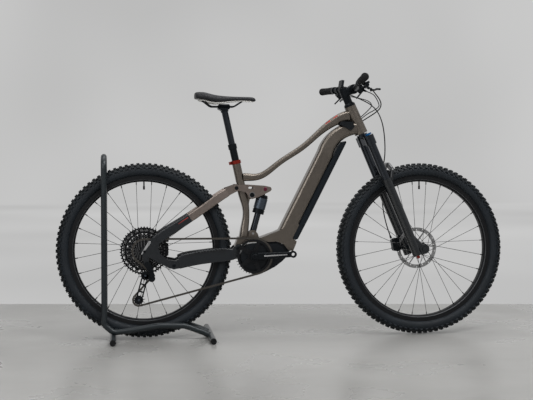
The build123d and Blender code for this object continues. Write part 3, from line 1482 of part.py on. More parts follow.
def calipers():
    front = caliper(FRONT_ROTOR_Y, 30)
    at = Pos(LEG_OFFSET - 46, 0, 52) * Rot(0, -90 + 12, 0)
    save("front_caliper", steered(FORK * (at * front)))
    rear = caliper(REAR_ROTOR_Y, 30)
    at = Pos(ROTOR_R - 2, 0, REAR_Z) * Rot(0, 90, 0)
    save("rear_caliper", at * rear)

# ---------------------------------------------------------------- cockpit
def bar_point(y):
    """Centre of the bent handlebar in the fork frame, at a distance y from the centre."""
    s = abs(y)
    base_n = STEM_LENGTH
    base_s = STEM_S
    if s <= 45:
        n, z = base_n, base_s
    elif s <= 95:
        f = (s - 45) / 50
        n, z = base_n - 2 * f, base_s + 10 * f
    else:
        f = (s - 95) / (BAR_HALF - 95)
        n, z = base_n - 2 - 34 * f, base_s + 10 + 26 * f
    return Vector(n, y, z)


def cockpit():
    bend = [45, 95]
    half = BAR_HALF - 1.5
    points = [bar_point(-half), bar_point(-bend[1]), bar_point(-bend[0])]
    points += [bar_point(bend[0]), bar_point(bend[1]), bar_point(half)]
    radii = [55, 60, 60, 55]
    tube = bent_tube([tuple(p) for p in points], radii, BAR_R)
    tube += Pos(STEM_LENGTH, 0, STEM_S) * Rot(90, 0, 0) * Cylinder(BAR_CLAMP_R, 62)
    inside = bent_tube([tuple(p) for p in points], radii, BAR_R - BAR_WALL)
    tube -= inside
    save("handlebar", steered(FORK * tube))
    # stem
    stem = Pos(0, 0, STEM_S) * Cylinder(STEERER_R + 5, STEM_HEIGHT)
    stem += loft(
        [
            Plane(origin=(4, 0, STEM_S), x_dir=(0, 1, 0), z_dir=(1, 0, 0))
            * RectangleRounded(34, 34, 8),
            Plane(origin=(STEM_LENGTH - 6, 0, STEM_S), x_dir=(0, 1, 0), z_dir=(1, 0, 0))
            * RectangleRounded(46, 36, 8),
        ]
    )
    face = Pos(STEM_LENGTH, 0, STEM_S) * Rot(90, 0, 0) * Cylinder(BAR_CLAMP_R + 5, 46)
    stem += face
    stem -= Pos(STEM_LENGTH, 0, STEM_S) * Rot(90, 0, 0) * Cylinder(BAR_CLAMP_R + 0.03, 80)
    stem -= Pos(0, 0, STEM_S) * Cylinder(STEERER_R + 0.03, 60)
    save("stem", steered(FORK * stem))
    cup_top = HEAD_TUBE_TOP + CUP_HEIGHT
    stem_low = STEM_S - STEM_HEIGHT / 2
    stack = Pos(0, 0, (cup_top + stem_low) / 2) * Cylinder(17.5, stem_low - cup_top - 0.1)
    stack += Pos(0, 0, cup_top + 4) * Cone(24, 17.5, 7)
    stack -= Pos(0, 0, (cup_top + stem_low) / 2) * Cylinder(STEERER_R + 0.03, 90)
    lid = Pos(0, 0, STEM_S + STEM_HEIGHT / 2 + 2.1) * Cylinder(17, 4)
    save("headset_spacers", steered(FORK * stack), steered(FORK * lid))
    cup = Pos(0, 0, HEAD_TUBE_TOP + CUP_HEIGHT / 2) * Cylinder(HEAD_TUBE_TOP_R - 0.5, CUP_HEIGHT)
    cup += Pos(0, 0, HEAD_TUBE_TOP - 5) * Cylinder(HEAD_BORE_R, 10)
    cup -= Pos(0, 0, HEAD_TUBE_TOP) * Cylinder(STEERER_R + 0.06, 40)
    lower = Pos(0, 0, HEAD_TUBE_LOW + 5) * Cylinder(HEAD_BORE_R, 10)
    lower -= Pos(0, 0, HEAD_TUBE_LOW) * Cylinder(STEERER_R + 0.06, 40)
    save("headset_cups", FORK * cup, FORK * lower)
    grips = []
    for s in (-1, 1):
        a = bar_point(s * (BAR_HALF - GRIP_LENGTH))
        b = bar_point(s * BAR_HALF)
        grip = rod(tuple(a), tuple(b), GRIP_R)
        d = (b - a).normalized()
        for t in (0.0, GRIP_LENGTH - 10):
            grip += rod(tuple(a + d * t), tuple(a + d * (t + 10)), GRIP_R + 1.6)
        grip -= rod(tuple(a - d * 5), tuple(b - d * 1.2), BAR_R + 0.03)
        grips.append(steered(FORK * grip))
    save("grips", *grips)
    controls()


def on_bar(y, forward, up, shift=0.0):
    """Point beside the bar at y: forward and up are distances square to it."""
    p = bar_point(y)
    a = TILT
    fx = math.cos(a)
    fz = math.sin(a)
    n = p.X + forward * fx + up * fz
    z = p.Z - forward * fz + up * fx
    return Vector(n, p.Y + shift, z)


def controls():
    """Brake levers, shift and post levers and the display, clamped on the bar."""
    bodies = []
    for s in (-1, 1):
        c0 = bar_point(s * 222)
        c1 = bar_point(s * 240)
        ring = rod(tuple(c0), tuple(c1), BAR_R + 5)
        m0 = on_bar(s * 205, LEVER_FWD, LEVER_UP)
        m1 = on_bar(s * 262, LEVER_FWD, LEVER_UP)
        body = ring + rod(tuple(m0), tuple(m1), 9)
        neck0 = bar_point(s * 231)
        neck1 = on_bar(s * 231, LEVER_FWD, LEVER_UP)
        body += rod(tuple(neck0), tuple(neck1), 7)
        ear0 = on_bar(s * 214, LEVER_FWD, LEVER_UP)
        ear1 = on_bar(s * 214, LEVER_FWD + 15, LEVER_UP - 10)
        body += rod(tuple(ear0), tuple(ear1), 5.5)
        tank = on_bar(s * 238, LEVER_FWD + 1, LEVER_UP + 11)
        body += Pos(tank.X, tank.Y, tank.Z) * Box(16, 34, 9)
        body -= rod(tuple(bar_point(s * 200)), tuple(bar_point(s * 270)), BAR_R + 0.03)
        bodies.append(steered(FORK * body))
        name = "brake_lever_right" if s < 0 else "brake_lever_left"
        save(name, steered(FORK * brake_blade(s)))
    save("brake_lever_bodies", *bodies)
    shifter()
    display()


def brake_blade(s):
    """Hooked blade on a pivot at the inboard end of the lever body."""
    pts = [
        (214, LEVER_FWD + 23, LEVER_UP - 14.5),
        (246, LEVER_FWD + 33, LEVER_UP - 20),
        (300, LEVER_FWD + 36, LEVER_UP - 22),
        (334, LEVER_FWD + 44, LEVER_UP - 27),
    ]
    world = [tuple(on_bar(s * y, f, u)) for y, f, u in pts]
    blade = bent_tube(world, [40, 40], 4.2)
    hub_c = on_bar(s * 214, LEVER_FWD + 23, LEVER_UP - 14.5)
    blade += Pos(hub_c.X, hub_c.Y, hub_c.Z) * Cylinder(6, 13)
    return blade


def shifter():
    """Trigger shifter under the right side of the bar and the post remote on the left."""
    pods = []
    for s, r in ((-1, 17), (1, 11)):
        c0 = bar_point(s * 176)
        c1 = bar_point(s * 190)
        ring = rod(tuple(c0), tuple(c1), BAR_R + 4)
        p = on_bar(s * 186, POD_FWD, POD_UP)
        pod = ring + Pos(p.X, p.Y, p.Z) * Rot(0, -24, 0) * Cylinder(r, 16)
        pod += rod(tuple(bar_point(s * 183)), tuple(p), 6)
        pod -= rod(tuple(bar_point(s * 150)), tuple(bar_point(s * 220)), BAR_R + 0.03)
        pods.append(steered(FORK * pod))
    save("shifter_pods", *pods)
    p = on_bar(-186, POD_FWD, POD_UP)
    hub_low = Pos(p.X, p.Y, p.Z) * Rot(0, -24, 0)
    lever = hub_low * (
        Pos(0, 0, -10.8) * Cylinder(12, 5) + Pos(-24, -10, -10.8) * Rot(0, 0, 20) * Box(40, 11, 5)
    )
    save("shift_lever", steered(FORK * lever))
    q = on_bar(186, POD_FWD, POD_UP)
    hub_left = Pos(q.X, q.Y, q.Z) * Rot(0, -24, 0)
    lever = hub_left * (
        Pos(0, 0, -10.8) * Cylinder(8, 5) + Pos(-20, 10, -10.8) * Rot(0, 0, -20) * Box(36, 9, 5)
    )
    save("dropper_lever", steered(FORK * lever))


def display():
    """Small display on the left, tilted to the rider, on its clamp ring."""
    c0 = bar_point(128)
    c1 = bar_point(142)
    ring = rod(tuple(c0), tuple(c1), BAR_R + 4)
    p = on_bar(135, -6, 24)
    case = Pos(p.X, p.Y, p.Z) * Rot(0, -58, 0) * Box(34, 60, 10)
    case = fillet(case.edges().filter_by(lambda e: 9 < e.length < 11), 4)
    ring += rod(tuple(bar_point(135)), tuple(p), 7)
    ring += case
    ring -= rod(tuple(bar_point(103)), tuple(bar_point(168)), BAR_R + 0.03)
    save("display_unit", steered(FORK * ring))

# ---------------------------------------------------------------- hoses and cables


def arc_radii(points):
    """0.45 of the shorter run over the tangent of half the turn, at each inner point."""
    radii = []
    for a, b, c in zip(points, points[1:], points[2:]):
        before = Vector(*b) - Vector(*a)
        after = Vector(*c) - Vector(*b)
        turn = math.radians(before.get_angle(after))
        radii.append(0.45 * min(before.length, after.length) / math.tan(turn / 2))
    return radii


def cord(name, points, radius):
    """One hose or cable along straight runs and tangent arcs."""
    radii = arc_radii(points)
    path = bent_path(points, radii)
    tube = bent_tube(points, radii, radius)
    share = tube.volume / (math.pi * radius**2 * path.length)
    print(name, "length", round(path.length, 1), "radii", [round(r) for r in radii])
    print("   volume over section times length", round(share, 4))
    save(name, tube)


def bar_world(y, forward, up):
    """Point beside the bar, in the part's own frame with the bar turned as it stands."""
    spot = steered(FORK * Pos(*on_bar(y, forward, up)) * Vertex(0, 0, 0))
    return (spot.center().X, spot.center().Y, spot.center().Z)


def cable_ports():
    """Grommets on both sides of the head tube: hoses go in on the left, the right is plugged."""
    outline = list(PORT_FACE) + [(886, 927), (848, 927), (840, 916), (890, 888)]
    shapes = []
    for s in (-1, 1):
        block = slab(outline, s * 20, s * (PORT_Y + 4), 2.0)
        for piece in (down_tube_bend(0.1, 185), top_tube(0.1)):
            block -= piece
        shapes.append(max(block.solids(), key=lambda one: one.volume))
    save("cable_ports", *shapes)


def port_entry(share):
    """Place on the left grommet's front face, a little before it, and one further out."""
    (x0, z0), (x1, z1) = PORT_FACE
    x = x0 + (x1 - x0) * share
    z = z0 + (z1 - z0) * share
    length = math.dist(*PORT_FACE)
    out = ((z1 - z0) / length, (x0 - x1) / length)
    seat = (x + out[0] * 0.1, PORT_Y, z + out[1] * 0.1)
    lead = (x + out[0] * 34, PORT_Y, z + out[1] * 34)
    return seat, lead


def cords():
    rear = bar_world(-203.5, LEVER_FWD + 4, LEVER_UP + 3)
    front = bar_world(203.5, LEVER_FWD + 4, LEVER_UP + 3)
    shift = bar_world(-174, POD_FWD + 19, POD_UP - 4)
    post = bar_world(173, POD_FWD + 14, POD_UP - 2)
    seat, lead = port_entry(0.16)
    cord(
        "rear_brake_hose",
        [
            rear,
            (rear[0] + 22, rear[1] + 30, rear[2] - 6),
            (rear[0] + 50, rear[1] + 72, rear[2] - 24),
            (1012, -78, 1012),
            (1020, -34, 986),
            (1004, 6, 966),
            (972, 28, 944),
            lead,
            seat,
        ],
        HOSE_R,
    )
    seat, lead = port_entry(0.5)
    cord(
        "shift_cable",
        [
            shift,
            (shift[0] + 24, shift[1] + 22, shift[2] - 6),
            (shift[0] + 56, shift[1] + 66, shift[2] - 14),
            (1006, -58, 1006),
            (1016, -20, 992),
            (1002, 14, 978),
            (972, 32, 962),
            lead,
            seat,
        ],
        CABLE_R,
    )
    seat, lead = port_entry(0.84)
    cord(
        "dropper_cable",
        [
            post,
            (post[0] + 26, post[1] - 24, post[2]),
            (post[0] + 60, 104, 1034),
            (986, 64, 1022),
            (1000, 46, 1002),
            (982, 38, 980),
            lead,
            seat,
        ],
        CABLE_R,
    )
    cord(
        "front_brake_hose",
        [
            front,
            (front[0] + 28, front[1] - 26, front[2] - 6),
            (front[0] + 66, 146, 1034),
            (1004, 112, 1010),
            (1032, 84, 976),
            (1048, 66, 930),
            (1056, 58, 878),
            (1060, 58, 820),
            (1060, 66, 765),
            leg_side(40, LEG_Y + 17, SEAL_TOP + 20),
            leg_side(22, LEG_Y + 27, SEAL_TOP - 30),
            leg_side(2, LEG_Y + 29, SEAL_TOP - 82),
            leg_side(-16, LEG_Y + 24, SEAL_TOP - 132),
            leg_side(-30, LEG_Y + 10, SEAL_TOP - 180),
            leg_side(-40, LEG_Y - 8, SEAL_TOP - 224),
            leg_side(*HOSE_END),
        ],
        HOSE_R,
    )


def leg_side(n, y, s):
    """Place beside the left fork leg, with the fork turned as it stands."""
    spot = steered(FORK * Pos(n, y, s) * Vertex(0, 0, 0)).center()
    return (spot.X, spot.Y, spot.Z)

# ---------------------------------------------------------------- stand
def stand():
    """Bent hoop that takes the rear tyre between two uprights, on two floor bars."""
    r = STAND_R
    zc = r
    y = STAND_Y
    top = STAND_TOP - r
    near = [
        (STAND_FRONT_X, -y, zc),
        (248, -y, zc + 16),
        (171, -y, 57),
        (60, -y, 59),
        (-60, -y, 40),
        (STAND_REAR_X, -y, zc + 20),
        (STAND_UPRIGHT_X, -y, 66),
        (STAND_UPRIGHT_X, -y, top),
    ]
    far = [(x, -yy, z) for x, yy, z in reversed(near)]
    radii = [60, 60, 80, 80, 40, 26, 48, 48, 26, 40, 80, 80, 60, 60]
    hoop = bent_tube(near + far, radii, r, r - STAND_WALL)
    feet = []
    for x in (STAND_FRONT_X, STAND_REAR_X):
        half = STAND_FOOT_LENGTH / 2
        bar = cyl_y(x, zc, r, -half + CAP_LENGTH, half - CAP_LENGTH)
        bar -= cyl_y(x, zc, r - STAND_WALL, -half, half)
        hoop -= cyl_y(x, zc, r + WELD_GAP, -half, half)
        feet.append(bar)
    save("stand_hoop", hoop, *feet)
    caps = []
    for x in (STAND_FRONT_X, STAND_REAR_X):
        for s in (-1, 1):
            end = s * STAND_FOOT_LENGTH / 2
            cap = cyl_y(x, zc, r, end - s * CAP_LENGTH, end)
            cap += cyl_y(x, zc, r - STAND_WALL - 0.05, end - s * (CAP_LENGTH + 8), end)
            caps.append(cap)
    save("stand_caps", *caps)


def pins():
    """Pins that the frame holds: rocker axle and lower shock bolt."""
    axle = cyl_y(ROCKER_PIVOT[0], ROCKER_PIVOT[1], 8.0, -ROCKER_OUT_Y - 1, ROCKER_OUT_Y + 1)
    for s in (-1, 1):
        axle += cyl_y(
            ROCKER_PIVOT[0], ROCKER_PIVOT[1], 12, s * (ROCKER_OUT_Y + SIDE_GAP), s * (ROCKER_OUT_Y + 3)
        )
    bolt = cyl_y(SHOCK_LOW[0], SHOCK_LOW[1], 5.0, -(EYE_HALF + 13), EYE_HALF + 13)
    save("frame_pins", axle, bolt)


front_wheel()
rear_wheel()
cassette()
chainring()
cranks()
chain()
derailleur()
seatstays()
chainstays()
rocker()
shock()
pins()
main_frame()
battery()
motor()
seat_parts()
fork()
calipers()
cockpit()
cable_ports()
cords()
stand()
print("links", LINK_COUNT, "cage turn", round(math.degrees(CAGE_TURN), 2))
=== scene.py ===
import json
from math import copysign, cos, dist, exp, hypot, pi, radians, sin

import bmesh
import bpy
from mathutils import Matrix, Vector


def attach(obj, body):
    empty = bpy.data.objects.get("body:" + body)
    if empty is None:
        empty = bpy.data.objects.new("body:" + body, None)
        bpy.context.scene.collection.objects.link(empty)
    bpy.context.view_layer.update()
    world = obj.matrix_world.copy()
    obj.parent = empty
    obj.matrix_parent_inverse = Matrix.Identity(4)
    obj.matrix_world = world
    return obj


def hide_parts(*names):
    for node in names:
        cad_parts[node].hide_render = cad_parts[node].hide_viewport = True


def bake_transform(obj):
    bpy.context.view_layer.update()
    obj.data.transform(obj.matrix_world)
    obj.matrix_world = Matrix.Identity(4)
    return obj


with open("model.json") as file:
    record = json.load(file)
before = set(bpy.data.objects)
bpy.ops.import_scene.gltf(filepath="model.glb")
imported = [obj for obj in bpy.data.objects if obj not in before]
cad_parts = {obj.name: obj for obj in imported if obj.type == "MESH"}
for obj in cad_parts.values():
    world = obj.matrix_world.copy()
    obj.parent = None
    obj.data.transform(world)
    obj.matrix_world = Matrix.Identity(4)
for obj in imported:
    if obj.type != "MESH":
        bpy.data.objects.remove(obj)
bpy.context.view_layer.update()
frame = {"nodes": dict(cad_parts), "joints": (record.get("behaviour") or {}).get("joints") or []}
NODES = frame["nodes"]

# ---- places, in metres
JOINTS = {joint["name"]: joint for joint in frame["joints"]}
SIDES = ((-1, "right"), (1, "left"))
moved = Matrix.Translation


def sideways(y):
    return Vector((0.0, y, 0.0))


def in_plane(name):
    """Place of a joint, put in the bicycle's middle plane."""
    x, _, z = JOINTS[name]["pos_m"]
    return Vector((x, 0.0, z))


REAR_AXLE = in_plane("rear_wheel_spin")
FRONT_AXLE = Vector(JOINTS["front_wheel_spin"]["pos_m"])
STEER_AXIS = Vector(JOINTS["steering_turn"]["axis"])
STEER_REST = radians(3.87)
HOSE_R = 0.0025
CABLE_R = 0.002

REAR_BRAKE_ROUTE = [
    (0.3213, -0.2, 1.0712), (0.3433, -0.17, 1.0652), (0.3713, -0.128, 1.0472),
    (0.411, -0.078, 1.012), (0.419, -0.034, 0.986), (0.403, 0.006, 0.966),
    (0.371, 0.028, 0.944), (0.3343, 0.0335, 0.9208), (0.3028, 0.0335, 0.9082),
]
SHIFT_ROUTE = [
    (0.3198, -0.171, 1.0523), (0.3438, -0.149, 1.0463), (0.3758, -0.105, 1.0383),
    (0.405, -0.058, 1.006), (0.415, -0.02, 0.992), (0.401, 0.014, 0.978),
    (0.371, 0.032, 0.962), (0.3316, 0.0335, 0.9276), (0.3001, 0.0335, 0.915),
]
DROPPER_ROUTE = [
    (0.2934, 0.175, 1.0452), (0.3194, 0.151, 1.0452), (0.3534, 0.104, 1.034),
    (0.385, 0.064, 1.022), (0.399, 0.046, 1.002), (0.381, 0.038, 0.98),
    (0.3288, 0.0335, 0.9344), (0.2974, 0.0335, 0.9218),
]
FRONT_BRAKE_ROUTE = [
    (0.296, 0.2061, 1.0605), (0.324, 0.1801, 1.0545), (0.362, 0.146, 1.034),
    (0.403, 0.112, 1.01), (0.431, 0.084, 0.976), (0.447, 0.066, 0.93),
    (0.455, 0.058, 0.878), (0.459, 0.058, 0.82), (0.459, 0.066, 0.765),
    (0.4495, 0.0855, 0.7062), (0.4518, 0.0943, 0.6529), (0.4537, 0.0949, 0.5972),
    (0.457, 0.0887, 0.5443), (0.4638, 0.0738, 0.495), (0.4729, 0.0552, 0.4511),
    (0.4836, 0.0439, 0.4176),
]


# ---- material kit
class Nodes:
    """A node tree with short ways to add to it."""

    def __init__(self, tree, coordinates):
        self.tree = tree
        self.place = self.add("ShaderNodeTexCoord").outputs[coordinates]

    def add(self, kind, inputs=(), **settings):
        """New node, its inputs linked to sockets or set to values."""
        node = self.tree.nodes.new(kind)
        for key, value in settings.items():
            setattr(node, key, value)
        for key, value in dict(inputs).items():
            if isinstance(value, bpy.types.NodeSocket):
                self.tree.links.new(value, node.inputs[key])
            else:
                node.inputs[key].default_value = value
        return node

    def spread(self, value, low, high, out_low=0.0, out_high=1.0):
        ends = enumerate((value, low, high, out_low, out_high))
        return self.add("ShaderNodeMapRange", ends).outputs["Result"]

    def mix(self, factor, first, second):
        inputs = {0: factor, 6: first, 7: second}
        return self.add("ShaderNodeMix", inputs, data_type="RGBA").outputs[2]

    def maths(self, operation, first, second=0.0, third=0.0):
        inputs = enumerate((first, second, third))
        return self.add("ShaderNodeMath", inputs, operation=operation).outputs[0]

    def weighed(self, first, by_first, second, by_second):
        """Sum of two values, each times its weight."""
        product = self.maths("MULTIPLY", first, by_first)
        return self.maths("ADD", product, self.maths("MULTIPLY", second, by_second))

    def split(self):
        """X, Y and Z of the place."""
        return self.add("ShaderNodeSeparateXYZ", {0: self.place}).outputs[:]


class Shader(Nodes):
    """Material whose colour, roughness and bump follow noise."""

    def __init__(self, name, gloss=0.5, **surface):
        self.material = bpy.data.materials.new(name)
        self.material.use_nodes = True
        super().__init__(self.material.node_tree, "Object")
        self.surface = self.tree.nodes["Principled BSDF"]
        for key, value in {"Specular_IOR_Level": gloss, **surface}.items():
            self.surface.inputs[key.replace("_", " ")].default_value = value

    def drive(self, name, socket):
        """Lets a socket set one of the surface's inputs."""
        self.tree.links.new(socket, self.surface.inputs[name])

    def tapped(self, kind, output, **inputs):
        """Output of a new node that reads the shader's place."""
        return self.add(kind, {"Vector": self.place, **inputs}).outputs[output]

    def mapped(self, **how):
        return self.tapped("ShaderNodeMapping", "Vector", **how)

    def noise(self, scale, detail, **how):
        return self.tapped("ShaderNodeTexNoise", "Fac", Scale=scale, Detail=detail, **how)

    def cells(self, scale):
        return self.tapped("ShaderNodeTexVoronoi", "Distance", Scale=scale)

    def tones(self, scale, detail, first, second):
        """Colour that drifts between two tones."""
        return self.mix(self.noise(scale, detail), first, second)

    def colour(self, socket):
        self.drive("Base Color", socket)

    def wear(self, noise, low, high):
        """Roughness that follows a noise from low to high."""
        self.drive("Roughness", self.spread(noise, 0.3, 0.7, low, high))

    def bump(self, height, strength, distance):
        inputs = {"Height": height, "Strength": strength, "Distance": distance}
        self.drive("Normal", self.add("ShaderNodeBump", inputs).outputs["Normal"])


def rgb(r, g, b):
    return (r, g, b, 1.0)


def shade(colour, factor):
    return rgb(*(part * factor for part in colour[:3]))


def painted(name, colour, metallic, rough, coat, flake, accent=None):
    """Metallic paint: fine flakes, slow drift in tone, clear coat."""
    s = Shader(name, Metallic=metallic, Coat_Weight=coat, Coat_Roughness=0.1)
    tone = s.tones(6, 2, shade(colour, 0.92), shade(colour, 1.08))
    if accent:
        tone = s.mix(accent(s), tone, ACCENT_RED)
    sparkle = s.spread(s.cells(1500), 0.0, 0.55, 1 - flake, 1 + flake)
    bright = s.add("ShaderNodeVectorMath", {0: tone, "Scale": sparkle}, operation="SCALE")
    s.colour(bright.outputs[0])
    s.wear(s.noise(90, 4), rough * 0.88, rough * 1.15)
    s.bump(s.noise(260, 2), 0.006, 0.0003)
    return s


def anodised(name, colour, rough, metallic=0.5):
    """Anodised or bead-blasted metal: fine grain, soft smudges."""
    s = Shader(name, 0.22, Metallic=metallic)
    s.colour(s.tones(25, 4, shade(colour, 0.8), shade(colour, 1.25)))
    s.wear(s.noise(60, 5), rough * 0.85, rough * 1.2)
    s.bump(s.noise(2400, 2), 0.08, 0.0003)
    return s


def brushed(name, colour, rough, along=(40, 900, 40)):
    """Turned or brushed metal with fine lines."""
    s = Shader(name, Metallic=1.0)
    lines = s.noise(1.0, 6, Vector=s.mapped(Scale=along))
    s.colour(s.mix(lines, shade(colour, 0.75), shade(colour, 1.2)))
    s.wear(lines, rough * 0.8, rough * 1.3)
    s.bump(lines, 0.05, 0.0003)
    return s


def plastic(name, colour, rough, grain=1800, depth=0.1):
    """Moulded plastic with a spark-eroded grain."""
    s = Shader(name, 0.2)
    s.colour(s.tones(30, 3, shade(colour, 0.82), shade(colour, 1.2)))
    s.wear(s.noise(150, 4), rough * 0.85, rough * 1.15)
    s.bump(s.cells(grain), depth, 0.0004)
    return s


def rubber(name, colour, rough):
    """Rubber with a dusty bloom in its low places."""
    s = Shader(name, 0.15)
    dust = s.spread(s.noise(14, 6), 0.42, 0.72)
    s.colour(s.mix(dust, shade(colour, 0.8), shade(colour, 1.5)))
    s.wear(s.noise(110, 5), rough * 0.9, rough * 1.15)
    s.bump(s.noise(700, 5), 0.25, 0.0006)
    return s


CHAMPAGNE = rgb(0.172, 0.15, 0.128)
ROCKER_ROSE = rgb(0.26, 0.215, 0.19)
INK = rgb(0.004, 0.006, 0.0085)
ACCENT_RED = rgb(0.3, 0.028, 0.022)
TOP_TUBE_ACCENTS = (
    (Vector((0.2, 0.0, 0.931)), Vector((0.178, 0.0, 0.916))),
    (Vector((0.232, 0.0, 0.953)), Vector((0.212, 0.0, 0.9393))),
)
ACCENT_HALF = 0.0026


def slanted_band(s, start, end, half):
    """One on a band from start to end in side view, and nothing elsewhere."""
    length = (end - start).length
    along = (end - start).normalized()
    x, _, z = s.split()
    dx = s.maths("SUBTRACT", x, start.x)
    dz = s.maths("SUBTRACT", z, start.z)
    run = s.weighed(dx, along.x, dz, along.z)
    off = s.weighed(dz, along.x, dx, -along.z)
    inside = s.maths("COMPARE", run, length / 2, length / 2)
    taper = s.spread(run, 0.0, length, half, half * 0.35)
    near = s.maths("LESS_THAN", s.maths("ABSOLUTE", off), taper)
    return s.maths("MULTIPLY", inside, near)


def frame_accent(s):
    first, second = (slanted_band(s, *ends, ACCENT_HALF) for ends in TOP_TUBE_ACCENTS)
    return s.maths("ADD", first, second)


STAY_STRIPE = (Vector((-0.4172, 0.0, 0.519)), Vector((-0.459, 0.0, 0.4912)))
STAY_STRIPE_HALF = 0.0022
STAY_LINE = Vector((0.848, 0.0, 0.53))
STAY_SPLIT = -0.0722


def seatstay_paint():
    """Bronze paint at the rocker end, ink at the wheel end, and a slender red stroke."""
    s = painted("seatstay_paint", ROCKER_ROSE, 1.0, 0.33, 0.2, 0.03)
    x, _, z = s.split()
    dark = s.maths("LESS_THAN", s.weighed(x, STAY_LINE.x, z, STAY_LINE.z), STAY_SPLIT)
    bronze = s.surface.inputs["Base Color"].links[0].from_socket
    two_tone = s.mix(dark, bronze, INK)
    s.colour(s.mix(slanted_band(s, *STAY_STRIPE, STAY_STRIPE_HALF), two_tone, ACCENT_RED))
    s.drive("Metallic", s.maths("MULTIPLY_ADD", dark, -0.9, 1.0))
    return s


def wheel_matrix(front):
    if not front:
        return moved(REAR_AXLE)
    return moved(FRONT_AXLE) @ Matrix.Rotation(STEER_REST, 4, STEER_AXIS)


def on_wheel(s, front):
    """Puts the shader's place in the wheel's frame; gives the distance from the axle."""
    inverse = wheel_matrix(front).inverted()
    s.place = s.mapped(Location=inverse.to_translation(), Rotation=inverse.to_euler())
    x, _, z = s.split()
    return s.maths("SQRT", s.weighed(x, x, z, z))


TREAD_RUBBER = rgb(0.007, 0.0092, 0.0108)
# sidewall rubber with a painted bluish sheen, lighter than the tread
SIDEWALL_RUBBER_AND_SHEEN = rgb(0.008, 0.0115, 0.0155)
TREAD_EDGE_R = 0.356
SIDEWALL_RINGS = 2600.0


def tyre_rubber(name, front):
    """Black tread over a sidewall painted lighter and bluish as a sheen, with fine moulding rings."""
    s = Shader(name, 0.3)
    radius = on_wheel(s, front)
    tread = s.spread(radius, TREAD_EDGE_R - 0.001, TREAD_EDGE_R + 0.001)
    dust = s.spread(s.noise(11, 6), 0.4, 0.75)
    # painted sheen: the sidewall takes the lighter, bluish colour
    wall = s.mix(dust, shade(SIDEWALL_RUBBER_AND_SHEEN, 0.85), shade(SIDEWALL_RUBBER_AND_SHEEN, 1.3))
    knobs = s.mix(dust, shade(TREAD_RUBBER, 0.8), shade(TREAD_RUBBER, 1.5))
    s.colour(s.mix(tread, wall, knobs))
    s.wear(s.noise(90, 5), 0.5, 0.68)
    rings = s.maths("SINE", s.maths("MULTIPLY", radius, SIDEWALL_RINGS))
    on_wall = s.maths("MULTIPLY", s.maths("SUBTRACT", 1.0, tread), 0.35)
    s.bump(s.weighed(rings, on_wall, s.noise(650, 5), 0.8), 0.3, 0.0005)
    return s


RIM_LINE_R = 0.3005
RIM_LINE_HALF = 0.0011


def rim_finish(name, front):
    """Blasted black rim with a bright machined line below its hook."""
    s = Shader(name, 0.3)
    line = s.maths("COMPARE", on_wheel(s, front), RIM_LINE_R, RIM_LINE_HALF)
    black = s.tones(25, 4, rgb(0.006, 0.0065, 0.0075), rgb(0.012, 0.0125, 0.014))
    s.colour(s.mix(line, black, rgb(0.11, 0.113, 0.118)))
    s.drive("Metallic", s.maths("MULTIPLY_ADD", line, 0.5, 0.45))
    s.wear(s.noise(60, 5), 0.4, 0.55)
    s.bump(s.noise(2000, 2), 0.08, 0.0003)
    return s


COG_TEETH = (11, 13, 15, 17, 19, 22, 25, 28, 32, 36, 42, 50)
COG_STEP = 0.00365
COG_MIDDLE_Y = -0.0495
COG_MIDDLE = 6
CHAIN_PITCH = 0.0127


def cog_y(i):
    """Middle plane of a sprocket, counted from the smallest."""
    return COG_MIDDLE_Y + (i - COG_MIDDLE) * COG_STEP


def pitch_radius(teeth):
    return CHAIN_PITCH / (2 * sin(pi / teeth))


def cassette_steel():
    """Black sprockets whose tooth edges are painted bright: steel bared by the chain, and painted
    glints.
    """
    s = Shader("cassette_steel", 0.3, Metallic=0.8)
    radius = on_wheel(s, False)
    _, y, _ = s.split()
    worn_and_glint = 0.0
    # tooth edges painted bright, partly as bare steel and partly as painted glints
    for i, teeth in enumerate(COG_TEETH):
        plane = s.maths("COMPARE", y, cog_y(i), COG_STEP / 3)
        edge = s.maths("GREATER_THAN", radius, pitch_radius(teeth) - 0.0006)
        worn_and_glint = s.maths("ADD", s.maths("MULTIPLY", plane, edge), worn_and_glint)
    black = s.tones(80, 4, rgb(0.008, 0.0085, 0.0095), rgb(0.018, 0.0185, 0.02))
    bright = s.tones(300, 3, rgb(0.07, 0.07, 0.073), rgb(0.16, 0.16, 0.165))
    s.colour(s.mix(worn_and_glint, black, bright))
    s.wear(s.noise(200, 4), 0.3, 0.46)
    s.bump(s.noise(900, 3), 0.08, 0.0003)
    return s


def concrete():
    """Polished concrete with pale clouds in it."""
    s = Shader("concrete", 0.5)
    cloud = s.spread(s.noise(1.1, 7), 0.35, 0.65)
    s.colour(s.mix(cloud, rgb(0.282, 0.279, 0.268), rgb(0.345, 0.342, 0.33)))
    s.wear(s.noise(2.0, 5), 0.22, 0.4)
    s.bump(s.noise(40, 4), 0.03, 0.002)
    return s


def backdrop_paper():
    """Paper that shows nothing but its own even glow."""
    black = rgb(0.0, 0.0, 0.0)
    s = Shader("backdrop_paper", 0.0, Base_Color=black, Emission_Strength=1.0)
    glow = s.spread(s.noise(0.16, 2), 0.35, 0.65)
    s.drive("Emission Color", s.mix(glow, rgb(0.5, 0.5, 0.498), rgb(0.6, 0.6, 0.598)))
    s.wear(s.noise(3.0, 2), 0.85, 0.95)
    return s


def saddle_leather():
    """Grained synthetic leather."""
    s = Shader("saddle_leather", 0.3)
    s.colour(s.tones(20, 4, rgb(0.0085, 0.009, 0.0105), rgb(0.016, 0.017, 0.02)))
    s.wear(s.noise(80, 4), 0.42, 0.6)
    s.bump(s.cells(900), 0.35, 0.0005)
    return s


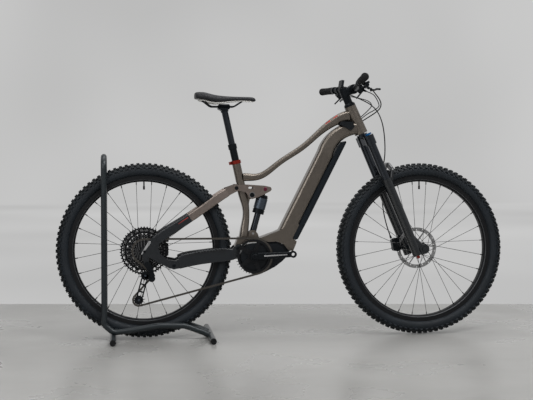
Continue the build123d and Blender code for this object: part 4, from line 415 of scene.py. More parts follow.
M = {
    "champagne": painted("champagne_paint", CHAMPAGNE, 1.0, 0.34, 0.2, 0.03, frame_accent),
    "rose": painted("rose_bronze_paint", ROCKER_ROSE, 1.0, 0.32, 0.2, 0.03),
    "ink": painted("ink_paint", INK, 0.1, 0.32, 0.25, 0.1),
    "gloss_black": painted("gloss_black_paint", rgb(0.0045, 0.0062, 0.008), 0.1, 0.22, 0.5, 0.05),
    "seatstay": seatstay_paint(),
    "black": anodised("black_anodised", rgb(0.0065, 0.0082, 0.0102), 0.38),
    "stanchion": anodised("black_stanchion", rgb(0.045, 0.05, 0.058), 0.11, 0.9),
    "rim_front": rim_finish("rim_black_front", True),
    "rim_rear": rim_finish("rim_black_rear", False),
    "blue": anodised("blue_anodised", rgb(0.02, 0.14, 0.36), 0.35, 0.85),
    "red": anodised("red_anodised", rgb(0.26, 0.028, 0.02), 0.33, 0.85),
    "slate": anodised("slate_anodised", rgb(0.07, 0.085, 0.105), 0.32, 0.8),
    "plum": anodised("plum_anodised", rgb(0.16, 0.035, 0.06), 0.33, 0.85),
    "alloy": brushed("machined_alloy", rgb(0.58, 0.58, 0.59), 0.28),
    "steel": brushed("rotor_steel", rgb(0.42, 0.42, 0.42), 0.32, (500, 500, 500)),
    "cassette": cassette_steel(),
    "chain": brushed("chain_steel", rgb(0.095, 0.088, 0.08), 0.38, (300, 300, 300)),
    "ring": brushed("chainring_steel", rgb(0.025, 0.026, 0.028), 0.4, (300, 300, 300)),
    "spoke": brushed("spoke_steel", rgb(0.05, 0.05, 0.052), 0.35, (500, 500, 500)),
    "plastic": plastic("black_plastic", rgb(0.0062, 0.008, 0.01), 0.48),
    "guard": plastic("grey_guard_rubber", rgb(0.055, 0.058, 0.062), 0.6, 1200, 0.15),
    "cover": plastic("battery_cover_plastic", rgb(0.0065, 0.0095, 0.013), 0.34, 2600, 0.06),
    "motor": plastic("motor_housing", rgb(0.005, 0.0068, 0.009), 0.4, 1400, 0.12),
    "hose": plastic("hose_skin", rgb(0.007, 0.0075, 0.008), 0.4, 3000, 0.05),
    "rubber": rubber("soft_rubber", rgb(0.0085, 0.0088, 0.0095), 0.66),
    "tyre_front": tyre_rubber("front_tyre_rubber", True),
    "tyre_rear": tyre_rubber("rear_tyre_rubber", False),
    "leather": saddle_leather(),
    "stand": painted("stand_powder_coat", rgb(0.013, 0.018, 0.021), 0.3, 0.36, 0.1, 0.1),
    "white": plastic("white_shell", rgb(0.62, 0.61, 0.58), 0.4, 2400, 0.04),
    "concrete": concrete(),
    "backdrop": backdrop_paper(),
}

NODE_FINISH = {     # nodes that no piece stands for
    "champagne": "main_frame",
    "rose": "rocker_link",
    "ink": "chainstays",
    "motor": "motor_unit",
    "cover": "battery_cover battery_pack",
    "seatstay": "seatstays",
    "gloss_black": "fork_lowers",
    "stanchion": "fork_upper dropper_inner shock_damper",
    "rim_front": "front_rim",
    "rim_rear": "rear_rim",
    "black": (
        "front_hub rear_hub crank_arms stem handlebar headset_spacers headset_cups dropper_outer "
        "shock_can saddle_clamp brake_lever_right brake_lever_left brake_lever_bodies front_caliper "
        "rear_caliper derailleur_body rear_axle saddle_rails"
    ),
    "blue": "compression_knob",
    "red": "seat_clamp rebound_knob",
    "steel": "front_rotor rear_rotor frame_pins",
    "ring": "chainring",
    "spoke": "front_spokes rear_spokes",
    "rubber": "stand_caps",
    "plastic": (
        "display_unit shifter_pods shift_lever dropper_lever upper_pulley lower_pulley cable_ports"
    ),
    "stand": "stand_hoop",
}


def dress(data, finish):
    data.materials.clear()
    data.materials.append(M[finish].material)


def dress_nodes():
    for finish, names in NODE_FINISH.items():
        for name in names.split():
            dress(NODES[name].data, finish)


# ---- mesh kit
SHARP_ANGLE = radians(35)
BOLT_SUNK = 0.0015


def add_object(name, data):
    obj = bpy.data.objects.new(name, data)
    bpy.context.scene.collection.objects.link(obj)
    return obj


def new_piece(name, bm, finish, body=None):
    """Closes the mesh, turns its faces outwards and makes it a piece of the body."""
    bmesh.ops.remove_doubles(bm, verts=bm.verts, dist=1e-6)
    bmesh.ops.recalc_face_normals(bm, faces=bm.faces)
    data = bpy.data.meshes.new(name)
    bm.to_mesh(data)
    bm.free()
    data.shade_smooth()
    data.set_sharp_from_angle(angle=SHARP_ANGLE)
    dress(data, finish)
    obj = add_object(name, data)
    if body:
        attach(obj, body)
    return obj


def meshed(obj):
    """Mesh of the object with its curve or modifiers worked in."""
    graph = bpy.context.evaluated_depsgraph_get()
    return bpy.data.meshes.new_from_object(obj.evaluated_get(graph))


def subdivide(obj, levels):
    """Rounds the piece by subdividing its faces."""
    modifier = obj.modifiers.new("rounded", "SUBSURF")
    modifier.levels = levels
    modifier.render_levels = levels
    done = meshed(obj)
    obj.modifiers.clear()
    obj.data = done
    done.shade_smooth()


def aimed(place, toward):
    """Matrix with its origin at the place and its +Z along the direction."""
    turn = Vector(toward).to_track_quat("Z", "Y").to_matrix().to_4x4()
    return moved(place) @ turn


def axes(along, across):
    """Turn that takes X along and Y across."""
    return Matrix((along, across, along.cross(across))).transposed().to_4x4()


def upward(along):
    """Direction square to along, in side view."""
    return Vector((-along.z, 0.0, along.x))


def settle(bm, old, matrix):
    """Moves what was added since the old vertices were listed."""
    fresh = [v for v in bm.verts if v not in old]
    bmesh.ops.transform(bm, matrix=matrix, verts=fresh)


def revolve(bm, points, axis, steps, closed=False):
    """Line through the points, taken once round an axis through the origin."""
    verts = [bm.verts.new(point) for point in points]
    ends = verts[1:] + verts[:1] if closed else verts[1:]
    edges = [bm.edges.new(pair) for pair in zip(verts, ends)]
    bmesh.ops.spin(
        bm, geom=verts + edges, cent=(0, 0, 0), axis=axis, angle=2 * pi, steps=steps, use_merge=True
    )


def repeat_round(bm, verts, count):
    """Repeats the parts with these vertices evenly round the Y axis."""
    faces = list({f for v in verts for f in v.link_faces})
    turn = 2 * pi * (count - 1) / count
    bmesh.ops.spin(
        bm, geom=faces, cent=(0, 0, 0), axis=(0, 1, 0), angle=turn, steps=count - 1, use_duplicate=True
    )


def lathe(bm, profile, matrix, steps):
    """Turned shape: a profile of (radius, height) spun about the matrix's Z."""
    old = set(bm.verts)
    revolve(bm, [(r, 0.0, h) for r, h in profile], (0, 0, 1), steps)
    settle(bm, old, matrix)


def chamfer(bm, edges, offset, segments=2):
    bmesh.ops.bevel(
        bm, geom=edges, offset=offset, offset_type="OFFSET", affect="EDGES",
        segments=segments, profile=0.5, material=-1, clamp_overlap=True,
    )


def turned(name, profile, matrix, steps, finish, body):
    """Piece turned from one profile."""
    bm = bmesh.new()
    lathe(bm, profile, matrix, steps)
    return new_piece(name, bm, finish, body)


def block(bm, size, matrix, edge):
    """Box of the given size with rounded edges, centred on the matrix."""
    old = set(bm.verts)
    verts = bmesh.ops.create_cube(bm, size=1.0)["verts"]
    bmesh.ops.scale(bm, vec=size, verts=verts)
    chamfer(bm, list({e for v in verts for e in v.link_edges}), edge)
    settle(bm, old, matrix)


def plate(bm, outline, thick, matrix, edge=0.0005):
    """Flat plate: an outline in the matrix's XY, extruded along its Z and chamfered."""
    old = set(bm.verts)
    face = bm.faces.new([bm.verts.new((x, y, 0.0)) for x, y in outline])
    made = bmesh.ops.extrude_face_region(bm, geom=[face])
    top = [g for g in made["geom"] if isinstance(g, bmesh.types.BMVert)]
    bmesh.ops.translate(bm, vec=(0, 0, thick), verts=top)
    fresh = [v for v in bm.verts if v not in old]
    chamfer(bm, list({e for v in fresh for e in v.link_edges}), edge, 1)
    settle(bm, old, matrix)


def drum(radius, length, edge):
    """Profile of a round bar with eased ends."""
    low = [(0, 0), (radius - edge, 0), (radius, edge)]
    return low + [(radius, length - edge), (radius - edge, length), (0, length)]


def rod(bm, start, end, radius):
    """Round rod from start to end with eased ends."""
    lathe(bm, drum(radius, (end - start).length, 0.0006), aimed(start, end - start), 20)


def cap_bolt(name, place, toward, size, finish, body):
    """Domed bolt head with a socket; size is its radius, height and socket radius."""
    radius, height, socket = size
    floor = 0.4 * height
    profile = [(0, floor), (socket, floor), (socket, height), (radius * 0.82, height)]
    profile += [(radius, height * 0.55), (radius, -BOLT_SUNK), (0, -BOLT_SUNK)]
    turned(name, profile, aimed(place, toward), 24, finish, body)


# ---- tyres
CARCASS = [
    (0.0, 0.3662), (0.01, 0.3654), (0.0185, 0.3622), (0.0248, 0.3566),
    (0.0286, 0.35), (0.0305, 0.342), (0.0297, 0.3335), (0.027, 0.3265),
    (0.0229, 0.3222), (0.0192, 0.3205), (0.018, 0.3196),
]
CARCASS_INSIDE = [(0.016, 0.3192), (0.02, 0.33), (0.017, 0.345), (0.0, 0.352)]
TREAD_PAIRS = 46
TYRE_STEPS = 228
KNOB_ROOT = 0.0012
KNOB_TAPER = (0.8, 0.82, 1.0)
KNOBS = (   # place on the half section and its shift, lag in pitches; then the block's measures
    (0.074, 0.004, 0.0, 0.0115, 0.014, 0.007, 0.12),
    (0.215, -0.004, 0.48, 0.008, 0.0105, 0.0052, -0.2),
    (0.33, 0.012, 0.02, 0.011, 0.0128, 0.0072, 0.0),
    (0.428, 0.0, 0.52, 0.006, 0.007, 0.003, 0.0),
)


def carcass_point(side, t):
    """Point and outward normal at t along the half section, from the crown to the bead."""
    spot = t * (len(CARCASS) - 1)
    i = int(spot)
    f = spot - i
    (y0, r0), (y1, r1) = CARCASS[i], CARCASS[i + 1]
    y = y0 + (y1 - y0) * f
    r = r0 + (r1 - r0) * f
    length = hypot(y1 - y0, r1 - r0)
    return side * y, r, side * (r0 - r1) / length, (y1 - y0) / length


def add_knob(bm, side, t, turn, across, along, height, skew):
    """Tapered tread block, square to the carcass and turned round the axle."""
    y, r, ny, nr = carcass_point(side, t)
    verts = bmesh.ops.create_cube(bm, size=1.0)["verts"]
    bmesh.ops.scale(bm, vec=KNOB_TAPER, verts=[v for v in verts if v.co.z > 0])
    bmesh.ops.scale(bm, vec=(across, along, height + KNOB_ROOT), verts=verts)
    bmesh.ops.rotate(bm, cent=(0, 0, 0), matrix=Matrix.Rotation(side * skew, 3, "Z"), verts=verts)
    seat = Matrix(((0, -1, 0), (nr, 0, ny), (-ny, 0, nr))).to_4x4()
    lift = (height - KNOB_ROOT) / 2
    stand = moved((0, y + ny * lift, r + nr * lift)) @ seat
    bmesh.ops.transform(bm, matrix=Matrix.Rotation(turn, 4, "Y") @ stand, verts=verts)
    return verts


def tyre(name, node, body, front):
    """Spun carcass with two pitches of tread blocks repeated round it."""
    bm = bmesh.new()
    half = CARCASS + CARCASS_INSIDE
    section = half + [(-y, r) for y, r in reversed(half[1:-1])]
    revolve(bm, [(0.0, y, r) for y, r in section], (0, 1, 0), TYRE_STEPS, closed=True)
    pitch = pi / TREAD_PAIRS
    blocks = []
    for k in range(2):
        for side in (-1, 1):
            for t, shift, lag, *measures in KNOBS:
                blocks += add_knob(bm, side, t + k * shift, k * pitch + lag * pitch, *measures)
    repeat_round(bm, blocks, TREAD_PAIRS)
    bmesh.ops.transform(bm, matrix=wheel_matrix(front), verts=bm.verts)
    piece = new_piece(name, bm, "tyre_front" if front else "tyre_rear", body)
    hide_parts(node)


# ---- hoses and cables
LEVER = Vector((0.33, -0.12, 1.06))
PORT = Vector((0.34, 0.03, 0.925))
CROWN = (0.455, 0.06, 0.93)
FORK_CLIP = (0.455, 0.09, 0.68)
HOSES = (
    ("rear_hose", "rear_brake_hose", REAR_BRAKE_ROUTE, HOSE_R, "frame", LEVER, PORT),
    ("shift_hose", "shift_cable", SHIFT_ROUTE, CABLE_R, "frame", LEVER, PORT),
    ("dropper_hose", "dropper_cable", DROPPER_ROUTE, CABLE_R, "frame", LEVER, PORT),
    ("front_hose", "front_brake_hose", FRONT_BRAKE_ROUTE, HOSE_R, "fork_slider", CROWN, FORK_CLIP),
)


def spline_mesh(name, route, radius):
    """Round hose on one smooth spline."""
    curve = bpy.data.curves.new(name, "CURVE")
    curve.dimensions = "3D"
    curve.bevel_depth = radius
    curve.bevel_resolution = 4
    curve.resolution_u = 10
    spline = curve.splines.new("NURBS")
    spline.points.add(len(route) - 1)
    for point, place in zip(spline.points, route):
        point.co = (*place, 1.0)
    spline.order_u = 3
    spline.use_endpoint_u = True
    carrier = add_object(name + "_line", curve)
    data = meshed(carrier)
    bpy.data.objects.remove(carrier)
    data.name = name
    data.shade_smooth()
    return data


def hoses():
    for name, node, route, radius, held_by, start, end in HOSES:
        data = spline_mesh(name, route, radius)
        dress(data, "hose")
        piece = add_object(name, data)
        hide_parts(node)
        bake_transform(piece)
        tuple(start)
        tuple(end)


# ---- grips
GRIP_ENDS = {
    "grip_right": ((0.2893, -0.2501, 1.0883), (0.2787, -0.3789, 1.0965)),
    "grip_left": ((0.258, 0.2527, 1.075), (0.2315, 0.3794, 1.0765)),
}
GRIP_WAIST_R = 0.0142
GRIP_COLLAR_R = 0.0158
GRIP_RIB = 0.0042
GRIP_RIB_HEIGHT = 0.001
GRIP_BOLT = (0.003, 0.0022, 0.0014)


def grip_profile(length):
    """Lock ring, ribs on a gentle waist, and a rounded outer end."""
    profile = [(0.0, 0.0), (GRIP_COLLAR_R - 0.0006, 0.0), (GRIP_COLLAR_R, 0.0006)]
    profile += [(GRIP_COLLAR_R, 0.0085), (GRIP_WAIST_R, 0.0095)]
    for i in range(int((length - 0.018) / GRIP_RIB)):
        low = 0.0105 + i * GRIP_RIB
        r = GRIP_WAIST_R + 0.0012 * abs(2 * low / length - 0.9) ** 1.5
        for shift, lift in ((0.0, 0.0), (0.0008, 1.0), (0.0026, 1.0), (0.0034, 0.0)):
            profile.append((r + lift * GRIP_RIB_HEIGHT, low + shift))
    end_r = GRIP_COLLAR_R + 0.0006
    profile += [(end_r, length - 0.006), (end_r, length - 0.0015)]
    profile += [(GRIP_COLLAR_R - 0.0016, length), (0.0, length)]
    return profile


def grips():
    """Ribbed grips with a lock ring and its clamp bolt at the inner end."""
    for name, (inner, outer) in GRIP_ENDS.items():
        a = Vector(inner)
        reach = Vector(outer) - a
        along = reach.normalized()
        down = (Vector((0, 0, -1)) + along * along.z).normalized()
        profile = grip_profile(reach.length)
        turned(name, profile, aimed(a, reach), 36, "rubber", "steering")
        seat = a + along * 0.0046 + down * (GRIP_COLLAR_R - 0.001)
        cap_bolt(name + "_bolt", seat, down, GRIP_BOLT, "alloy", "steering")
    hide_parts("grips")


# ---- saddle
SADDLE_ROWS = [
    (-0.386, 0.046, 1.02, 1.048, 0.004), (-0.3765, 0.061, 1.0165, 1.0512, 0.007),
    (-0.345, 0.07, 1.0125, 1.0518, 0.01), (-0.32, 0.07, 1.0045, 1.044, 0.014),
    (-0.295, 0.06, 1.0005, 1.0385, 0.016), (-0.27, 0.05, 1.003, 1.0355, 0.013),
    (-0.24, 0.038, 1.0085, 1.0335, 0.008), (-0.2, 0.0275, 1.013, 1.0325, 0.004),
    (-0.16, 0.0225, 1.0125, 1.0325, 0.002), (-0.136, 0.019, 1.0105, 1.0315, 0.001),
    (-0.1215, 0.011, 1.012, 1.024, 0.0),
]
SHELL_ROWS = [
    (-0.372, 0.054, 1.0115, 1.019, 0.008), (-0.345, 0.063, 1.0085, 1.015, 0.011),
    (-0.32, 0.063, 1.001, 1.007, 0.015), (-0.295, 0.054, 0.9972, 1.003, 0.017),
    (-0.27, 0.045, 0.9995, 1.0055, 0.014), (-0.24, 0.034, 1.005, 1.011, 0.009),
    (-0.2, 0.025, 1.0095, 1.0155, 0.005), (-0.16, 0.0205, 1.009, 1.015, 0.003),
    (-0.13, 0.015, 1.008, 1.013, 0.001),
]
SADDLE_RING = 28
CHANNEL_DEPTH = 0.0034
CHANNEL_HALF = 0.0085
SEAM_DEPTH = 0.0009
SEAM_HALF = 0.0016
SEAM_SHARE = 0.8
CHANNEL_ENDS = (-0.375, -0.135)
CHANNEL_FADE = 0.03


def squashed(v, half, low, high, arch, belly, whole):
    """Rounded-box section with full shoulders and an arched underside."""
    c = v.co.y
    u = v.co.z
    share = abs(c) ** 0.72
    z = middle = low + (high - low) * belly
    if u >= 0:
        z += (high - middle) * abs(u) ** 0.8
    else:
        z -= (middle - low) * abs(u) ** 0.5
    if u < 0 or whole:
        z += arch * (1 - share**2)
    return half * copysign(share, c), z


def loft(bm, rows, belly, whole):
    """Circles set along X, each shaped to its row, bridged and closed at both ends."""
    loops = []
    seat = Matrix.Rotation(pi / 2, 4, "Y")
    for x, *row in rows:
        made = bmesh.ops.create_circle(bm, cap_ends=False, segments=SADDLE_RING, radius=1.0, matrix=seat)
        for v in made["verts"]:
            v.co = (x, *squashed(v, *row, belly, whole))
        loops.append(list({e for v in made["verts"] for e in v.link_edges}))
    for first, second in zip(loops, loops[1:]):
        bmesh.ops.bridge_loops(bm, edges=first + second)
    for end in (loops[0], loops[-1]):
        bmesh.ops.contextual_create(bm, geom=end)


def half_width(x):
    """Half the saddle's width at x, straight between its rows."""
    x = min(max(x, SADDLE_ROWS[0][0]), SADDLE_ROWS[-1][0])
    for (a, first, *_), (b, second, *_) in zip(SADDLE_ROWS, SADDLE_ROWS[1:]):
        if x <= b:
            break
    f = (x - a) / (b - a)
    return first * (1 - f) + second * f


def press(v):
    """Presses the channel and the sewn lines into the saddle's top."""
    x, y, _ = v.co
    fade = 1.0
    for reach in (x - CHANNEL_ENDS[0], CHANNEL_ENDS[1] - x):
        fade *= min(1.0, max(0.0, reach / CHANNEL_FADE))
    off = abs(y) - SEAM_SHARE * half_width(x)
    v.co.z -= CHANNEL_DEPTH * fade * exp(-((y / CHANNEL_HALF) ** 2))
    v.co.z -= SEAM_DEPTH * exp(-((off / SEAM_HALF) ** 2))


def saddle():
    """Padded top with a centre channel and sewn lines, on a white shell."""
    bm = bmesh.new()
    loft(bm, SADDLE_ROWS, 0.45, False)
    pad = new_piece("saddle_pad", bm, "leather")
    subdivide(pad, 3)
    for v in pad.data.vertices:
        if v.normal.z > 0.3:
            press(v)
    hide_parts("saddle")
    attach(pad, "saddle_post")
    bm = bmesh.new()
    loft(bm, SHELL_ROWS, 0.6, True)
    shell = new_piece("saddle_shell", bm, "white", "saddle_post")
    subdivide(shell, 2)


# ---- strain reliefs
RELIEF_LENGTH = 0.016
RELIEF_R = 0.0046


def strain_reliefs():
    """Tapered, ribbed sleeves where the hoses leave their housings."""
    for name, _, route, hose_r, held_by, *_ in HOSES:
        profile = [(0.0, -0.002), (RELIEF_R, -0.002), (RELIEF_R, 0.003)]
        for i in range(4):
            low = 0.003 + i * 0.003
            r = RELIEF_R + (hose_r + 0.0005 - RELIEF_R) * i / 3
            profile += [(r, low + 0.0004), (r, low + 0.0019)]
            profile += [(r - 0.0006, low + 0.0023), (r - 0.0006, low + 0.003)]
        profile += [(hose_r + 0.0004, RELIEF_LENGTH), (0.0, RELIEF_LENGTH)]
        points = [Vector(p) for p in route]
        for word, body, (a, b) in (("a", "steering", points[:2]), ("b", held_by, points[:-3:-1])):
            turned(f"{name}_sleeve_{word}", profile, aimed(a, b - a), 20, "plastic", body)


# ---- pivots and fasteners
ROCKER_REAR = Vector((-0.209, 0.0, 0.642))
ROCKER_NOSE = Vector((-0.084, 0.0, 0.636))
PIVOTS = (  # name, place, its face's y, radius, height, body, finish
    ("main_pivot_bolt", in_plane("rear_suspension"), 0.044, 0.011, 0.003, "chainstay_arm", "black"),
    ("horst_bolt", in_plane("seatstay_pivot"), 0.082, 0.0085, 0.0022, "chainstay_arm", "black"),
    ("rocker_rear_bolt", ROCKER_REAR, 0.05, 0.0085, 0.0026, "seatstay_arm", "black"),
    ("rocker_pivot_bolt", in_plane("rocker_pivot"), 0.0365, 0.0105, 0.0032, "rocker", "black"),
    ("rocker_nose_bolt", ROCKER_NOSE, 0.034, 0.008, 0.0026, "rocker", "plum"),
)


def pivot_bolts():
    for name, place, face_y, radius, height, body, finish in PIVOTS:
        for side, word in SIDES:
            seat = place + sideways(side * face_y)
            size = (radius, height, radius * 0.42)
            cap_bolt(f"{name}_{word}", seat, (0, side, 0), size, finish, body)


# ---- cranks
CRANK_CENTRE = in_plane("crank_spin")
CRANK_LENGTH = 0.165
CRANK_TURN = radians(3.1)
CRANK_FACE_Y = 0.076
FLUTE = (0.106, 0.0105, 0.0014)
FLUTE_STRIP = (0.1, 0.0056, 0.0022)
FLUTE_MIDDLE = 0.09
CRANK_BOLT = (0.0115, 0.0032, 0.0052)
CRANK_BOLT_Y = 0.0795
PEDAL_INSERT = (
    (0.0073, -0.004), (0.0073, 0.0006), (0.0078, 0.0009), (0.0096, 0.0009),
    (0.0102, 0.0003), (0.0102, -0.002), (0.0073, -0.004),
)


def crank_trim():
    """Bright-edged flute, pedal thread insert and end bolt on each arm."""
    for side, word in SIDES:
        turn = CRANK_TURN if side < 0 else CRANK_TURN + pi
        along = Vector((cos(turn), 0.0, sin(turn)))
        face = CRANK_CENTRE + sideways(side * CRANK_FACE_Y)
        seat = moved(face + along * FLUTE_MIDDLE) @ axes(along, upward(along))
        for part, size, finish in (("flute", FLUTE, "black"), ("strip", FLUTE_STRIP, "alloy")):
            bm = bmesh.new()
            block(bm, size, seat, 0.0006)
            new_piece(f"crank_{part}_{word}", bm, finish, "crank_set")
        seat = aimed(face + along * CRANK_LENGTH, (0, side, 0))
        turned(f"pedal_insert_{word}", PEDAL_INSERT, seat, 28, "alloy", "crank_set")
        end = CRANK_CENTRE + sideways(side * CRANK_BOLT_Y)
        cap_bolt(f"crank_bolt_{word}", end, (0, side, 0), CRANK_BOLT, "black", "crank_set")


# ---- derailleur
UPPER_PULLEY = in_plane("guide_pulley_spin")
LOWER_PULLEY = in_plane("tension_pulley_spin")
CAGE_PIVOT = in_plane("derailleur_cage_swing")
CAGE_SIDES = (("outer", -0.0583, -0.0561), ("inner", -0.0431, -0.0411))
CAGE_DISC_R = 0.0125
CAGE_STRUT = 0.005
CAGE_SPREAD = 0.0125
CAGE_EDGE = 0.0004
CAGE_BOW = 0.018
CAGE_BRIDGES = (0.36, 0.66)
CAGE_PINS = (0.3, 0.62)
CAGE_ARM_HALF = 0.00825
PULLEY_BOLT = (0.0045, 0.0018, 0.0016)


def cage_plate(bm, seat, length, thick):
    """Open loop of two bowed struts and two bridges between round ends."""
    for centre in (0.0, length):
        lathe(bm, drum(CAGE_DISC_R, thick, CAGE_EDGE), seat @ moved((centre, 0, 0)), 32)
    for side in (-1, 1):
        edge = side * CAGE_SPREAD
        near = edge - side * CAGE_STRUT
        far_end = length - CAGE_BOW
        outline = [(0.0, edge), (CAGE_BOW, edge * 1.12), (far_end, edge * 1.12), (length, edge)]
        outline += [(length, near), (far_end, near * 1.15), (CAGE_BOW, near * 1.15), (0.0, near)]
        plate(bm, outline, thick, seat, CAGE_EDGE)
    for share in CAGE_BRIDGES:
        spot = seat @ moved((length * share, 0, thick / 2))
        block(bm, (0.0045, 2.1 * CAGE_SPREAD, thick * 0.9), spot, CAGE_EDGE)


def cage_arm(bm, low_y, high_y):
    """Tapered arm from the cage's pivot to the upper pulley."""
    aim = (UPPER_PULLEY - CAGE_PIVOT).normalized()
    reach = (UPPER_PULLEY - CAGE_PIVOT).length
    seat = moved(CAGE_PIVOT + sideways(high_y)) @ axes(aim, upward(aim))
    half = CAGE_ARM_HALF
    outline = [(-0.01, -0.006), (-0.01, 0.006), (0.0, half)]
    outline += [(reach, half + 0.003), (reach, -half), (0.0, -half)]
    plate(bm, outline, high_y - low_y, seat)


def cage():
    """Slender cage of two plates with pins, arm and pulley bolts."""
    along = (LOWER_PULLEY - UPPER_PULLEY).normalized()
    across = -upward(along)
    length = (LOWER_PULLEY - UPPER_PULLEY).length
    for word, low_y, high_y in CAGE_SIDES:
        bm = bmesh.new()
        seat = moved(UPPER_PULLEY + sideways(low_y)) @ axes(along, across)
        cage_plate(bm, seat, length, high_y - low_y)
        new_piece("cage_plate_" + word, bm, "black", "derailleur_arm")
    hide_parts("derailleur_cage")
    _, outside, plate_inside = CAGE_SIDES[0]
    bm = bmesh.new()
    for share in CAGE_PINS:
        spot = UPPER_PULLEY + along * length * share + across * CAGE_SPREAD * 1.02
        rod(bm, spot + sideways(-0.0562), spot + sideways(-0.043), 0.0022)
    cage_arm(bm, outside, plate_inside)
    new_piece("cage_arm", bm, "black", "derailleur_arm")
    for word, centre in (("upper", UPPER_PULLEY), ("lower", LOWER_PULLEY)):
        seat = centre + sideways(outside)
        cap_bolt(f"pulley_bolt_{word}", seat, (0, -1, 0), PULLEY_BOLT, "slate", "derailleur_arm")


# ---- rear triangle trim
GUARD_LINE = [(-0.449, 0.356), (-0.371, 0.3728), (-0.291, 0.3833), (-0.246, 0.3838)]
GUARD_PITCH = 0.0125
GUARD_SIDE_Y = 0.06
GUARD_WIDTH = 0.02


def line_point(points, s):
    """Place and direction at the distance s along straight runs."""
    for (x0, z0), (x1, z1) in zip(points, points[1:]):
        length = hypot(x1 - x0, z1 - z0)
        if s <= length:
            break
        s -= length
    f = min(s / length, 1.0)
    spot = Vector((x0 + (x1 - x0) * f, 0.0, z0 + (z1 - z0) * f))
    return spot, Vector((x1 - x0, 0.0, z1 - z0)).normalized()


def chain_guard():
    """Ribbed rubber guard along the top of the drive-side chainstay."""
    total = sum(dist(a, b) for a, b in zip(GUARD_LINE, GUARD_LINE[1:]))
    bm = bmesh.new()
    for i in range(int(total / GUARD_PITCH)):
        spot, along = line_point(GUARD_LINE, (i + 0.5) * GUARD_PITCH)
        up = upward(along)
        seat = moved(spot + up * 0.0002 + sideways(-GUARD_SIDE_Y))
        block(bm, (GUARD_PITCH * 0.72, 0.0046, GUARD_WIDTH), seat @ axes(along, up), 0.001)
    new_piece("chain_guard_ribs", bm, "guard", "chainstay_arm")


DROPOUT_PLATE = [
    (-0.616, 0.366), (-0.6115, 0.3632), (-0.5735, 0.413), (-0.5785, 0.4215),
    (-0.585, 0.4185),
]


def side_plate(name, outline, low_y, thick, finish, body, edge=0.0005):
    """Plate drawn in side view, standing out from low_y towards the right."""
    bm = bmesh.new()
    seat = Matrix(((1, 0, 0, 0), (0, 0, -1, low_y), (0, 1, 0, 0), (0, 0, 0, 1)))
    plate(bm, outline, thick, seat, edge)
    new_piece(name, bm, finish, body)


CALIPER_BOLT = (0.0042, 0.0026, 0.0019)


def calipers():
    """Two mounting bolts on each caliper."""
    for name, body, spots in (
        ("front_caliper", "fork_slider", ((0.4905, 0.0547, 0.372), (0.513, 0.0547, 0.406))),
        ("rear_caliper", "seatstay_arm", ((-0.52, 0.0745, 0.36), (-0.505, 0.0745, 0.392))),
    ):
        for i, spot in enumerate(spots):
            cap_bolt(f"{name}_bolt_{i + 1}", spot, (0, 1, 0), CALIPER_BOLT, "alloy", body)


# ---- motor and battery trim
MOTOR_SIDE_Y = 0.0392
MOTOR_RING = (
    (0.03, -0.002), (0.03, 0.0012), (0.0315, 0.002), (0.037, 0.002),
    (0.0385, 0.001), (0.0385, -0.002), (0.03, -0.002),
)
MOTOR_SCREW = (0.0034, 0.0018, 0.0016)
MOTOR_SCREWS_R = 0.0455


def motor_trim():
    """Cover ring with five screws round the spindle, on each side."""
    for side, word in SIDES:
        middle = CRANK_CENTRE + sideways(side * MOTOR_SIDE_Y)
        seat = aimed(middle, (0, side, 0))
        turned(f"motor_ring_{word}", MOTOR_RING, seat, 48, "black", "frame")
        for k in range(5):
            q = radians(30 + 62 * k)
            spot = middle + MOTOR_SCREWS_R * Vector((cos(q), 0.0, sin(q)))
            cap_bolt(f"motor_screw_{word}_{k + 1}", spot, (0, side, 0), MOTOR_SCREW, "black", "frame")


COVER_LOCK = Vector((0.105, 0.0385, 0.606))
LOCK_BARREL = (     # on the left of the battery cover
    (0, 0.0004), (0.0052, 0.0004), (0.0056, 0.0016), (0.0078, 0.0016),
    (0.0086, 0.0006), (0.0086, -0.003), (0, -0.003),
)

# dark filler that closes the slit between the motor and the shell above it: a painted shadow, a black
# block put where the slit shows only shade
SLIT_SHADE_OUTLINE = [
    (-0.112, 0.415), (-0.054, 0.417), (-0.01, 0.401), (0.026, 0.373),
    (0.012, 0.36), (-0.02, 0.383), (-0.056, 0.397), (-0.112, 0.395),
]
SLIT_SHADE_HALF = 0.029


# ---- shock trim
SHOCK_LOW = in_plane("shock_pivot")
CAN_R = 0.025
SHOCK_TRIM = (  # name, finish, where each ring starts; its length, rise and eased edge
    ("shock_sleeve", "slate", (0.04,), 0.048, 0.0005, 0.0006),
    ("shock_rings", "black", (0.034, 0.092), 0.003, 0.0009, 0.0005),
)


def shock_trim():
    """Slate sleeve between two black rings round the air can."""
    down = (SHOCK_LOW - ROCKER_NOSE).normalized()
    inner = CAN_R - 0.001
    for name, finish, starts, length, rise, ease in SHOCK_TRIM:
        outer = CAN_R + rise
        profile = [(inner, 0.0), (outer, ease), (outer, length - ease), (inner, length), (inner, 0.0)]
        bm = bmesh.new()
        for start in starts:
            lathe(bm, profile, aimed(ROCKER_NOSE + down * start, down), 40)
        new_piece(name, bm, finish, "shock_upper")


# ---- cassette
COG_THICK = 0.0017
TOOTH_DEPTH = 0.0055
TOOTH_RISE = 0.003
RING_BAND = 0.006
LATTICE_FROM = 8
LATTICE_DEPTH = 0.0135
STRUT_WIDTH = 0.0052
STRUT_PAIRS = 16
COG_CORE_R = 0.019
HUB_R = 0.0205
COG_BORE_R = 0.015
TOOTH_WIDTH = 0.0078
TOOTH_TAPER = (0.42, 0.7, 1.0)
AXLE_SEAT = Matrix.Rotation(-pi / 2, 4, "X")


def round_axle(radius, turn, y):
    return Vector((radius * sin(turn), y, radius * cos(turn)))


def midway(a, b):
    """Matrix halfway from a to b: X along the way, Y along the axle."""
    return moved((a + b) / 2) @ axes((b - a).normalized(), sideways(1))


